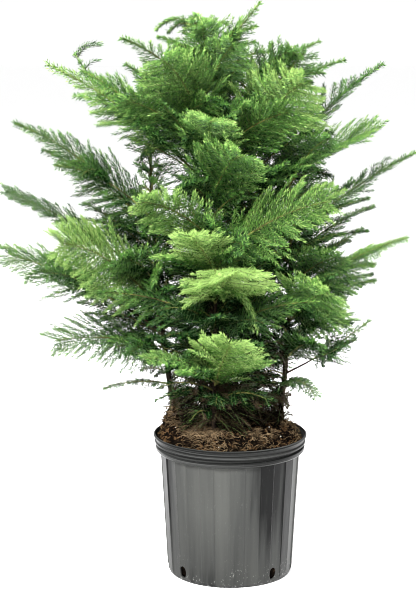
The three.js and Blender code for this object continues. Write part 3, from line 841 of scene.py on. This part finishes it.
def frond_of(curve, bright, span, lean, hang, **looks):
    """A frond on its rib. Its sprays start at a share of the rib and stand a pitch apart, in a slim
    or a full outline, and a share of them is dry."""
    angles = {"lean": math.radians(lean), "hang": math.radians(hang)}
    plain = {"start": 0, "pitch": SPRAY_PITCH, "full": False, "inner": False, "dry": 0}
    return {"curve": curve, "bright": bright, "span": span, **angles, **plain, **looks}


def whorl_of(stem, row, seed, title):
    """The fronds of one whorl: the long one, then one to either side."""
    height, bearing, reach, rise, arch, lean, hang, bare, bright, span = row
    in_front = abs(bearing) < FRONT_BEARING
    full = in_front or title in BROAD_WHORLS
    pitch = CLOSE_SPRAY_PITCH if full or title in CLOSE_WHORLS else SPRAY_PITCH
    if title in DENSE_WHORLS:
        pitch = DENSE_SPRAY_PITCH
    dry = DRY_SHARE if bright < DRY_BRIGHT else 0
    looks = {"lean": lean, "hang": hang, "full": full, "pitch": pitch, "dry": dry}
    main_curve = bough_curve(stem.at_height(height * MM), bearing, reach, rise, arch)
    boughs = [frond_of(main_curve, bright, span, start=bare, **looks)]
    if rise < FLAT_RISE:
        return boughs
    chance = seeded(seed)
    side_foot = main_curve.points(bare + SIDE_FOOT * (1 - bare))
    side_bright = max(bright - (FRONT_SIDE_DIMMER if in_front else SIDE_DIMMER), DIMMEST_SIDE)
    for hand in (-1, 1):
        turn = hand * (SIDE_TURN + SIDE_TURN_SCATTER * (next(chance) * 2 - 1))
        out = reach * between(SIDE_REACH, next(chance))
        lift = rise * between(SIDE_RISE, next(chance))
        if title in SHORT_SIDED_WHORLS:
            out *= SHORT_SIDE_REACH
            lift *= SHORT_SIDE_RISE
        elif full:
            out *= ROUNDED_SIDE_REACH
        side_curve = bough_curve(side_foot, bearing + turn, out, lift, arch * SIDE_ARCH)
        boughs.append(frond_of(side_curve, side_bright, span * SIDE_SPAN, **looks))
    return boughs


def rib_radius(share):
    """How thick a bough or rib is along its length."""
    return RIB_TIP_RADIUS + (RIB_FOOT_RADIUS - RIB_TIP_RADIUS) * (1 - share)


whorls = {}
bare_boughs = bmesh.new()
bare_nodes = []
for name, rows in BOUGHS.items():
    for number, row in enumerate(rows, 1):
        title = f"{name}_{number}"
        seed = len(whorls) + 1
        whorls[title] = whorl_of(stem_curves[name], row, seed, title)
        main = whorls[title][0]
        if main["start"] > 0:
            end = main["start"] + BARE_OVERLAP
            limb = bark_tube(main["curve"], end, rib_radius, BOUGH_SIDES, BOUGH_RINGS, seed * BOUGH_SEED_STEP)
            limb_mesh = mesh_from("limb", limb)
            bare_boughs.from_mesh(limb_mesh)
            bpy.data.meshes.remove(limb_mesh)
            bare_nodes.append("bough_" + title)
piece("bark_boughs", bare_boughs, stem_bark, "bark", *bare_nodes, sharp=BARK_SHARP_ANGLE)
fronds = [frond for boughs in whorls.values() for frond in boughs]


# Filling boughs: single fronds between the whorls where the crown is closed and shows their upper
# faces. A row has the stem and then the same columns as a bough, without a bare share.
FILLING_BOUGHS = [
    ("middle", 662, 2, 170, 96, 14, -15, -12, 0.7, 1.0),
    ("middle", 830, -4, 100, 70, 10, -35, 0, 0.56, 1.1),
    ("middle", 790, 20, 120, 80, 10, -40, 0, 0.52, 1.1),
    ("back", 800, 30, 120, 60, 12, -40, 0, 0.5, 1.0),
    ("back", 775, 60, 130, 50, 16, -45, 0, 0.46, 1.0),
    ("left", 770, 40, 120, 60, 12, -40, 0, 0.52, 1.0),
    ("left", 350, -40, 120, 40, 12, 40, 8, 0.36, 1.0),
    ("left", 585, -62, 170, 96, 20, 50, 8, 0.38, 1.2),
    ("left", 566, -78, 180, 136, 16, 50, 12, 0.34, 0.9),
    ("left", 470, -20, 150, 70, 14, -40, 0, 0.38, 1.0),
    ("left", 520, -100, 120, 90, 10, 20, 5, 0.3, 1.0),
    ("right", 350, 20, 120, 50, 8, -30, 0, 0.36, 1.0),
    ("right", 380, 45, 130, 50, 14, 40, 10, 0.48, 1.0),
    ("right", 425, 80, 140, 60, 14, 45, 10, 0.42, 1.0),
    ("right", 470, 30, 140, 70, 10, -40, 0, 0.5, 1.0),
    ("middle", 856, 66, 84, 42, 6, 20, 4, 0.56, 0.9),
    ("left", 326, -60, 52, 12, 6, 30, 8, 0.24, 0.7),
    ("middle", 846, -84, 78, 36, 4, 20, 4, 0.5, 0.8),
    ("middle", 838, 78, 76, 36, 6, 20, 4, 0.54, 0.8),
]
for name, height, bearing, reach, rise, arch, lean, hang, bright, span in FILLING_BOUGHS:
    in_front = abs(bearing) < FRONT_BEARING
    pitch = CLOSE_SPRAY_PITCH if in_front else SPRAY_PITCH
    curve = bough_curve(stem_curves[name].at_height(height * MM), bearing, reach, rise, arch)
    fronds.append(frond_of(curve, bright, span, lean, hang, full=in_front, pitch=pitch))


# Inner fronds: short older boughs between the whorls, all round each stem, that close the crown. The
# lowest hang level and dark over the soil, painted darker the lower they stand as shade inside the
# crown, with dried sprays among them, and the highest rise. Their sizes are in millimetres, and how
# far up the crown one stands is its climb, from 0 to 1.
CROWN_TOP = STEMS["middle"]["top"][2]
INNER_FIRST = 256
INNER_STAGGER = 2
INNER_STEP = 9
INNER_SHORT_OF_TOP = 30
INNER_TURN = 137.5
INNER_STEM_TURN = 61
INNER_REACH = (60, 150)
INNER_ROOM = 200
INNER_TOP_REACH = 0.3
INNER_FOOT_REACH = 0.5
DENSE_FEET = ("middle", "back")
OUTER_SIDES = {"left": -1, "right": 1}
OUTWARD_FROM = -0.2
OUTWARD_BARE_CLIMB = 0.12
SHORT_CLIMB = 0.16
OUTWARD_SHORT_REACH = 0.3
OPEN_HEIGHTS = {"left": (540, 830), "right": (560, 725)}
OPEN_REACH = 0.28
INNER_RISE = 0.15
INNER_RISE_BY_CLIMB = 0.7
INNER_RISE_SCATTER = (-0.15, 0.25)
INNER_ARCHES = (6, 16)
INNER_LEANS = (-20, 60)
INNER_HANG = 10
INNER_BRIGHT = 0.02
INNER_PAINTED_LIGHT_BY_CLIMB = 0.68
INNER_BRIGHT_SCATTER = (-0.08, 0.12)
INNER_DRY = 0.9
INNER_DRY_CLIMB = 0.2
draw = np.random.default_rng(5)
for number, (name, stem) in enumerate(stem_curves.items()):
    top = STEMS[name]["top"][2]
    heights = np.arange(INNER_FIRST + INNER_STAGGER * number, top - INNER_SHORT_OF_TOP, INNER_STEP)
    for step, height in enumerate(heights):
        climb = (height - INNER_FIRST) / (CROWN_TOP - INNER_FIRST)
        room = min(1, (top - height) / INNER_ROOM)
        reach = draw.uniform(*INNER_REACH) * between((INNER_TOP_REACH, 1), room)
        bearing = INNER_TURN * step + INNER_STEM_TURN * number
        angle = math.radians(bearing)
        outward = name in OUTER_SIDES and math.sin(angle) * OUTER_SIDES[name] > OUTWARD_FROM
        if outward and climb < OUTWARD_BARE_CLIMB:
            continue
        if outward and climb < SHORT_CLIMB:
            reach *= OUTWARD_SHORT_REACH
        if name not in DENSE_FEET:
            reach *= between((INNER_FOOT_REACH, 1), min(1, climb / SHORT_CLIMB))
        if name in OPEN_HEIGHTS and OPEN_HEIGHTS[name][0] < height < OPEN_HEIGHTS[name][1]:
            reach *= OPEN_REACH
        rise = reach * (INNER_RISE + INNER_RISE_BY_CLIMB * climb + draw.uniform(*INNER_RISE_SCATTER))
        arch = between(INNER_ARCHES, draw.random())
        lean = math.copysign(1, -math.cos(angle)) * draw.uniform(*INNER_LEANS)
        # Painted shade: inner fronds are darker the lower they stand in the crown.
        bright = INNER_BRIGHT + INNER_PAINTED_LIGHT_BY_CLIMB * climb + draw.uniform(*INNER_BRIGHT_SCATTER)
        dry = INNER_DRY * max(0, 1 - climb / INNER_DRY_CLIMB)
        curve = bough_curve(stem.at_height(height * MM), bearing, reach, rise, arch)
        fronds.append(frond_of(curve, bright, 1.0, lean, INNER_HANG, inner=True, dry=dry))


# Ribs: the middle of every frond, a thin olive-green limb that tapers from the stem or the bare
# bough to the frond's tip. The ribs are one piece, which stands for the foliage masses.
RIB_SIDES = 6
RIB_STEPS = 18
RIB_BROWN = (0.03, 0.024, 0.008)
RIB_OLIVE = (0.1, 0.096, 0.022)
RIB_GREEN = (0.19, 0.21, 0.05)
rib_shares = np.stack([np.linspace(frond["start"], 1, RIB_STEPS) for frond in fronds])
rib_paths = np.stack([frond["curve"].points(shares) for frond, shares in zip(fronds, rib_shares)])
rib_bark, tree, shader = finish_of("olive_rib_bark", RIB_OLIVE, roughness=0.7, specular=0.3)
ribbing = noise_node(tree, scale=60)
olive = ramp_node(tree, ribbing, (0.35, RIB_BROWN), (0.5, RIB_OLIVE), (0.65, RIB_GREEN))
tree.links.new(olive, shader.inputs["Base Color"])
bump_node(tree, shader, noise_node(tree, scale=800, detail=3), strength=0.7, distance=0.8 * MM)
rib_mesh = mesh_of("frond_ribs", *tubes(rib_paths, rib_radius(rib_shares), RIB_SIDES))
foliage_nodes = ["foliage_" + title for title in whorls]
piece("frond_ribs", rib_mesh, rib_bark, "foliage", *foliage_nodes, sharp=75)


# Sprays: slender green twigs in two rows along each rib, close together like the barbs of a
# feather. They open forwards, bend towards the rib's tip and droop at their ends. A spray starts at
# its foot on the way given and bends more and more towards its tip.
SPRAY_SHARE = 0.34
SPRAY_SHORTEST = 40 * MM
SPRAY_LONGEST = 88 * MM
SPRAY_LENGTH_SCATTER = (0.84, 1.12)
SPRAY_OPENING = math.radians(62)
SPRAY_CLOSING = math.radians(24)
SPRAY_SCATTER = math.radians(7)
SPRAY_FORWARD_BEND = 0.16
SPRAY_SAG = 0.06
SPRAY_SAG_SCATTER = (0.3, 1.6)
SPRAY_PLACE_SCATTER = (-0.22, 0.22)
FIRST_SPRAY = 0.06
LAST_SPRAY = 0.995
FULLEST_AT = 0.3
FOOT_SPRAY = 0.7
ROUNDED_LOSS = 0.62
ROUNDED_POWER = 1.4
SLIM_TIP = 0.08
SLIM_POWER = 1.9
FOOT_FULLNESS = 0.45
FOOT_WIDENING = 4
PAINTED_LIGHT_BY_SHARE = 0.24
EVEN_BRIGHT_AT = 0.55
BRIGHT_SCATTER = 0.05
RIB_NEEDLES_FROM = 0.12
RIB_BRIGHTER = 0.05
# Lone sprays that hang from a rib or curl up from it like hooks and ringlets: the whorl, the share
# of its long rib, the way, the bend, the length in millimetres and how bright it is.
LONE_SPRAYS = [
    ("front_6", 0.27, (1.05, -0.24, -0.16), (-0.44, 0, -0.62), 83, 0.86),
    ("front_6", 0.3, (1.05, -0.3, -0.12), (-0.44, 0, -0.62), 92, 0.86),
    ("front_6", 0.33, (1.05, -0.36, -0.08), (-0.44, 0, -0.62), 83, 0.86),
    ("left_10", 0.98, (0.3, 0, 1.3), (0.75, 0, -0.75), 40, 0.36),
    ("left_10", 0.97, (0.34, 0.06, 1.26), (0.72, 0, -0.72), 38, 0.36),
    ("left_10", 0.96, (0.36, -0.06, 1.34), (0.7, 0, -0.74), 36, 0.36),
    ("left_10", 0.86, (0.4, 0, 1.2), (0.5, 0, -0.6), 26, 0.36),
    ("right_7", 0.64, (-0.1, 0, 1.4), (0.6, 0, -0.7), 32, 0.36),
    ("right_7", 0.73, (-0.1, 0, 1.4), (0.6, 0, -0.7), 30, 0.36),
]
LEADER_SHARE = 0.16
LEADER_BRIGHT = 0.5
# Tufts of dried twigs on the lowest part of each stem, which hang over the soil.
TUFTS_PER_STEM = 150
TUFT_LIFT = 34 * MM
TUFT_LENGTHS = (36 * MM, 96 * MM)
TUFT_SPREAD = (1, 1, 0.45)
TUFT_RISE = (0, 0, 0.15)
TUFT_SAG = (0, 0, -0.4)
DRY_KINDS = 2
DRIED_INSIDE_EDGE = 18 * MM
TWIG_FOOT_RADIUS = 0.65 * MM
TWIG_TIP_RADIUS = 0.3 * MM
TWIG_STEPS = 4
TWIG_SIDES = 3
TWIG_DARK = (0.03, 0.07, 0.015)
TWIG_PALE = (0.09, 0.13, 0.03)
UP = np.array([0, 0, 1])
draw = np.random.default_rng(23)
sprays = {key: [] for key in ("foot", "way", "bend", "length", "bright", "inner", "dry")}


def add_sprays(foot, way, bend, length, bright, inner=False, dry=0):
    """Adds sprays at the feet given. A value that isn't a row for each goes to all of them, and a
    dry spray has the number of its kind, from 1."""
    for key, vectors in (("foot", foot), ("way", way), ("bend", bend)):
        sprays[key].append(np.broadcast_to(vectors, (len(foot), 3)))
    for key, values in (("length", length), ("bright", bright), ("inner", inner), ("dry", dry)):
        sprays[key].append(np.broadcast_to(values, len(foot)))


def frond_plane(frond, shares):
    """Directions along a rib, out of its frond's upper face and across the frond."""
    along = frond["curve"].tangents(shares)
    side = unit(np.cross(along, UP))
    over = np.cross(side, along)
    to_front = np.where(side[:, 1:2] > 0, -side, side)
    face = over * math.cos(frond["lean"]) + to_front * math.sin(frond["lean"])
    return along, face, np.cross(along, face)


def fullness(share, rounded):
    """Length of a spray along its frond, as a share of the longest, on a slim or a rounded frond."""
    rising = FOOT_SPRAY + (1 - FOOT_SPRAY) * share / FULLEST_AT
    outer = np.clip((share - FULLEST_AT) / (1 - FULLEST_AT), 0, 1)
    if rounded:
        falling = 1 - ROUNDED_LOSS * outer**ROUNDED_POWER
    else:
        falling = SLIM_TIP + (1 - SLIM_TIP) * (1 - outer) ** SLIM_POWER
    return np.where(share < FULLEST_AT, rising, falling)


def add_row(frond, hand):
    """Adds the sprays on one side of a frond."""
    longest = min(max(frond["curve"].length * SPRAY_SHARE, SPRAY_SHORTEST), SPRAY_LONGEST) * frond["span"]
    first = frond["start"] + FIRST_SPRAY
    count = int(frond["curve"].length * (1 - first) / frond["pitch"])
    place = np.arange(count) + 0.5 + draw.uniform(*SPRAY_PLACE_SCATTER, count)
    share = first + (LAST_SPRAY - first) * place / count
    along, face, across = frond_plane(frond, share)
    opening = SPRAY_OPENING - SPRAY_CLOSING * share + draw.normal(0, SPRAY_SCATTER, count)
    drop = frond["hang"] + draw.normal(0, SPRAY_SCATTER, count)
    out = across * (hand * np.cos(drop))[:, None] - face * np.sin(drop)[:, None]
    way = along * np.cos(opening)[:, None] + out * np.sin(opening)[:, None]
    length = longest * fullness(share, frond["full"]) * draw.uniform(*SPRAY_LENGTH_SCATTER, count)
    if frond["start"] > 0:
        length *= np.clip(FOOT_FULLNESS + FOOT_WIDENING * (share - first), 0, 1)
    sag = SPRAY_SAG * draw.uniform(*SPRAY_SAG_SCATTER, count)
    bend = along * SPRAY_FORWARD_BEND - UP * sag[:, None]
    # Painted shade: sprays are darker towards the frond's foot, deep in the crown, and lighter towards its
    # tip.
    bright = frond["bright"] + PAINTED_LIGHT_BY_SHARE * (share - EVEN_BRIGHT_AT)
    bright += draw.normal(0, BRIGHT_SCATTER, count)
    dried = draw.random(count) < frond["dry"]
    dry = dried * draw.integers(1, DRY_KINDS + 1, count)
    add_sprays(frond["curve"].points(share), way, bend, length, bright, frond["inner"], dry)


def add_rib(frond):
    """Adds a frond's rib as a spray of its own, so that needles grow on it too."""
    curve = frond["curve"]
    start = max(frond["start"], RIB_NEEDLES_FROM)
    left = 1 - start
    length = curve.length * left
    turning = curve.tip - 2 * curve.middle + curve.foot
    way = 2 * left * (curve.middle - curve.foot + turning * start) / length
    bend = turning * left**2 / length
    add_sprays(curve.points([start]), way, bend, length, frond["bright"] + RIB_BRIGHTER, frond["inner"])


for frond in fronds:
    for hand in (-1, 1):
        add_row(frond, hand)
    add_rib(frond)
for title, share, way, bend, length, bright in LONE_SPRAYS:
    add_sprays(whorls[title][0]["curve"].points([share]), way, bend, length * MM, bright)
for stem in stem_curves.values():
    leader_foot, leader_tip = stem.points([1 - LEADER_SHARE, 1])
    leader = leader_tip - leader_foot
    add_sprays([leader_foot], unit(leader), 0, np.linalg.norm(leader), LEADER_BRIGHT)
    heights = STEM_FOOT + draw.exponential(TUFT_LIFT, TUFTS_PER_STEM)
    tuft_foot = np.stack([stem.at_height(height) for height in heights])
    tuft_way = unit(draw.normal(size=(TUFTS_PER_STEM, 3)) * TUFT_SPREAD + TUFT_RISE)
    tuft_length = draw.uniform(*TUFT_LENGTHS, TUFTS_PER_STEM)
    tuft_dry = draw.integers(1, DRY_KINDS + 1, TUFTS_PER_STEM)
    add_sprays(tuft_foot, tuft_way, TUFT_SAG, tuft_length, 0, True, tuft_dry)
sprays = {key: np.concatenate(rows) for key, rows in sprays.items()}
spray_tips = sprays["foot"] + (sprays["way"] + sprays["bend"]) * sprays["length"][:, None]
over_soil = np.linalg.norm(spray_tips[:, :2], axis=1) < SOIL_EDGE_RADIUS - DRIED_INSIDE_EDGE
kept = over_soil | (sprays["dry"] == 0)
sprays = {key: rows[kept] for key, rows in sprays.items()}


def spray_points(which, shares):
    """Points and directions on the sprays given, each at its own share of its length."""
    share = shares[:, None]
    way, bend = sprays["way"][which], sprays["bend"][which]
    points = sprays["foot"][which] + (way * share + bend * share**2) * sprays["length"][which][:, None]
    return points, unit(way + 2 * bend * share)


spray_count = len(sprays["length"])
every_spray = np.arange(spray_count)
twig_shares = np.linspace(0, 1, TWIG_STEPS)
twig_paths = np.stack(
    [spray_points(every_spray, np.full(spray_count, share))[0] for share in twig_shares], axis=1
)
twig_radii = np.linspace(TWIG_FOOT_RADIUS, TWIG_TIP_RADIUS, TWIG_STEPS)[None].repeat(spray_count, axis=0)
twig_green, tree, shader = finish_of("green_twig", TWIG_PALE, roughness=0.6, specular=0.3)
twig_tone = ramp_node(tree, noise_node(tree, scale=40, detail=3), (0.35, TWIG_DARK), (0.65, TWIG_PALE))
tree.links.new(twig_tone, shader.inputs["Base Color"])
for title, chosen in (("twigs_outer", ~sprays["inner"]), ("twigs_inner", sprays["inner"])):
    twig_mesh = mesh_of(title, *tubes(twig_paths[chosen], twig_radii[chosen], TWIG_SIDES))
    piece(title, twig_mesh, twig_green, "foliage")


# Needles: soft awl-shaped leaves set all round each twig and curved forwards, so that a spray
# looks like a slim bottle brush. Old sprays inside the crown are dark, partly painted shade, needles
# under a spray are painted darker as shade and those above it lighter, and young tips are pale.
NEEDLES_PER_METRE = 980
INNER_NEEDLES_PER_METRE = 850
FEWEST_NEEDLES = 8
FIRST_NEEDLE = 0.03
NEEDLE_LENGTH = 8.6 * MM
NEEDLE_LENGTH_SCATTER = (0.82, 1.15)
NEEDLE_TIP_LOSS = 0.3
NEEDLE_WIDTH = 1.8 * MM
NEEDLE_WIDTH_SCATTER = (0.8, 1.15)
NEEDLE_WIDEST_AT = 0.38
NEEDLE_KEEL = 0.18
NEEDLE_CURL = 0.08
NEEDLE_LEAN = math.radians(60)
NEEDLE_TIP_LEAN = math.radians(30)
NEEDLE_LEAN_SCATTER = 0.12
GOLDEN_TURN = math.radians(137.5)
TURN_SCATTER = 0.3
TONE_ALONG_SPRAY = 0.12
YOUNG_TIP_FROM = 0.75
YOUNG_TIP_TONE = 0.14
UPPER_SIDE_PAINTED_LIGHT = 0.15
ALL_ROUND_TONE = -0.06
TONE_SCATTER = 0.17
TONE_STRENGTH = 0.95
MOST_NEEDLES_IN_A_PIECE = 98000
GREENS = [
    ("deep", (0.0035, 0.014, 0.003)),
    ("dark", (0.012, 0.047, 0.008)),
    ("leaf", (0.032, 0.104, 0.014)),
    ("fresh", (0.07, 0.18, 0.027)),
    ("bright", (0.136, 0.272, 0.05)),
    ("young", (0.245, 0.382, 0.097)),
]
# The withered tint of dried sprays low over the soil is darkened to near black as painted shade.
DRY_TINTS = [("dried", (0.04, 0.025, 0.011)), ("withered_and_painted_shade", (0.005, 0.004, 0.0025))]
SHADED_TINTS = ("deep", "withered_and_painted_shade")
NEEDLE_ROUGHNESS = 0.5
NEEDLE_GLOSS = 0.3
SHADED_GLOSS = 0.02
KITE_FACES = np.array([[0, 1, 2], [0, 2, 3]])
KITE_CORNERS = 4
draw = np.random.default_rng(37)

per_metre = np.where(sprays["inner"], INNER_NEEDLES_PER_METRE, NEEDLES_PER_METRE)
needle_counts = np.maximum((sprays["length"] * per_metre).astype(int), FEWEST_NEEDLES)
owner = np.repeat(every_spray, needle_counts)
needles = len(owner)
order = np.arange(needles) - np.repeat(np.cumsum(needle_counts) - needle_counts, needle_counts)
share = FIRST_NEEDLE + (1 - FIRST_NEEDLE) * (order + draw.random(needles)) / needle_counts[owner]
foot, along = spray_points(owner, share)
side = unit(np.cross(along, UP))
over = np.cross(side, along)
turn = order * GOLDEN_TURN + draw.normal(0, TURN_SCATTER, needles)
outward = side * np.cos(turn)[:, None] + over * np.sin(turn)[:, None]
lean = NEEDLE_LEAN + (NEEDLE_TIP_LEAN - NEEDLE_LEAN) * share**3
lean += draw.normal(0, NEEDLE_LEAN_SCATTER, needles)
length = NEEDLE_LENGTH * (1 - NEEDLE_TIP_LOSS * share**4) * draw.uniform(*NEEDLE_LENGTH_SCATTER, needles)
way = along * np.cos(lean)[:, None] + outward * np.sin(lean)[:, None]
half_width = NEEDLE_WIDTH / 2 * draw.uniform(*NEEDLE_WIDTH_SCATTER, needles)
breadth = unit(np.cross(way, outward)) * half_width[:, None]
tip = foot + way * length[:, None] + (along - outward) * (NEEDLE_CURL * length)[:, None]
middle = foot + way * (NEEDLE_WIDEST_AT * length)[:, None] + outward * NEEDLE_KEEL * NEEDLE_WIDTH
kites = np.stack([foot, middle + breadth, tip, middle - breadth], axis=1)

young_tip = np.clip((share - YOUNG_TIP_FROM) / (1 - YOUNG_TIP_FROM), 0, 1)
tone = sprays["bright"][owner] + TONE_ALONG_SPRAY * (share - 0.5) + YOUNG_TIP_TONE * young_tip
# Painted light and shade: needles on a spray's upper side are dealt lighter tints and those under it darker
# ones.
tone += UPPER_SIDE_PAINTED_LIGHT * np.sin(turn) + ALL_ROUND_TONE + draw.normal(0, TONE_SCATTER, needles)
tint_of = np.clip((tone * len(GREENS) * TONE_STRENGTH).astype(int), 0, len(GREENS) - 1)
dry = sprays["dry"][owner]
tint_of[dry > 0] = len(GREENS) - 1 + dry[dry > 0]
for number, (name, colour) in enumerate(GREENS + DRY_TINTS):
    gloss = SHADED_GLOSS if name in SHADED_TINTS else NEEDLE_GLOSS
    needle_skin = finish_of("needles_" + name, colour, NEEDLE_ROUGHNESS, gloss)[0]
    chosen = np.flatnonzero(tint_of == number)
    batches = np.array_split(chosen, math.ceil(len(chosen) / MOST_NEEDLES_IN_A_PIECE))
    for part, batch in enumerate(batches, 1):
        title = f"needles_{name}_{part}"
        needle_faces = repeated(KITE_FACES, len(batch), KITE_CORNERS)
        piece(title, mesh_of(title, kites[batch].reshape(-1, 3), needle_faces), needle_skin, "foliage")


# Studio: a plain pale floor under soft white light from above and in front, with the camera a
# little above the crown's middle, looking slightly down. Places and sizes are in metres.
FLOOR_HALF_SIZE = 40
FLOOR_DROP = 0.5 * MM
FLOOR_WHITE = (0.96, 0.96, 0.96)
SKY_STRENGTH = 0.9
CAMERA_PLACE = (-0.0366, -2.5, 0.889)
CAMERA_TILT = math.radians(80.36)
CAMERA_SENSOR_MM = 36
CAMERA_LENS_MM = 94.4
EXPOSURE = 0.2
PIXEL_FILTER = 1.0

floor = bmesh.new()
bmesh.ops.create_grid(floor, x_segments=1, y_segments=1, size=FLOOR_HALF_SIZE)
floor_object = placed("floor", mesh_from("floor", floor))
floor_object.location.z = -FLOOR_DROP
floor_object.data.materials.append(finish_of("pale_floor", FLOOR_WHITE, roughness=0.9, specular=0.1)[0])

world = bpy.data.worlds.new("studio")
world.use_nodes = True
world.node_tree.nodes["Background"].inputs["Color"].default_value = (1, 1, 1, 1)
world.node_tree.nodes["Background"].inputs["Strength"].default_value = SKY_STRENGTH
bpy.context.scene.world = world


def soft_light(name, place, aim, size, power):
    """A round soft light turned to what it lights."""
    lamp = bpy.data.lights.new(name, "AREA")
    lamp.shape = "DISK"
    lamp.size = size
    lamp.energy = power
    holder = placed(name, lamp)
    holder.location = place
    holder.rotation_euler = (Vector(aim) - Vector(place)).to_track_quat("-Z", "Y").to_euler()


soft_light("key_light", place=(-0.9, -2.5, 2.6), aim=(0, 0, 0.55), size=1.0, power=270)
soft_light("top_light", place=(0.7, 0.1, 3.2), aim=(0, 0, 0.5), size=1.4, power=150)

camera = placed("camera", bpy.data.cameras.new("camera"))
camera.location = CAMERA_PLACE
camera.rotation_euler = (CAMERA_TILT, 0, 0)
camera.data.sensor_width = CAMERA_SENSOR_MM
camera.data.lens = CAMERA_LENS_MM
bpy.context.scene.camera = camera
bpy.context.scene.view_settings.view_transform = "Standard"
bpy.context.scene.view_settings.exposure = EXPOSURE
bpy.context.scene.cycles.filter_width = PIXEL_FILTER
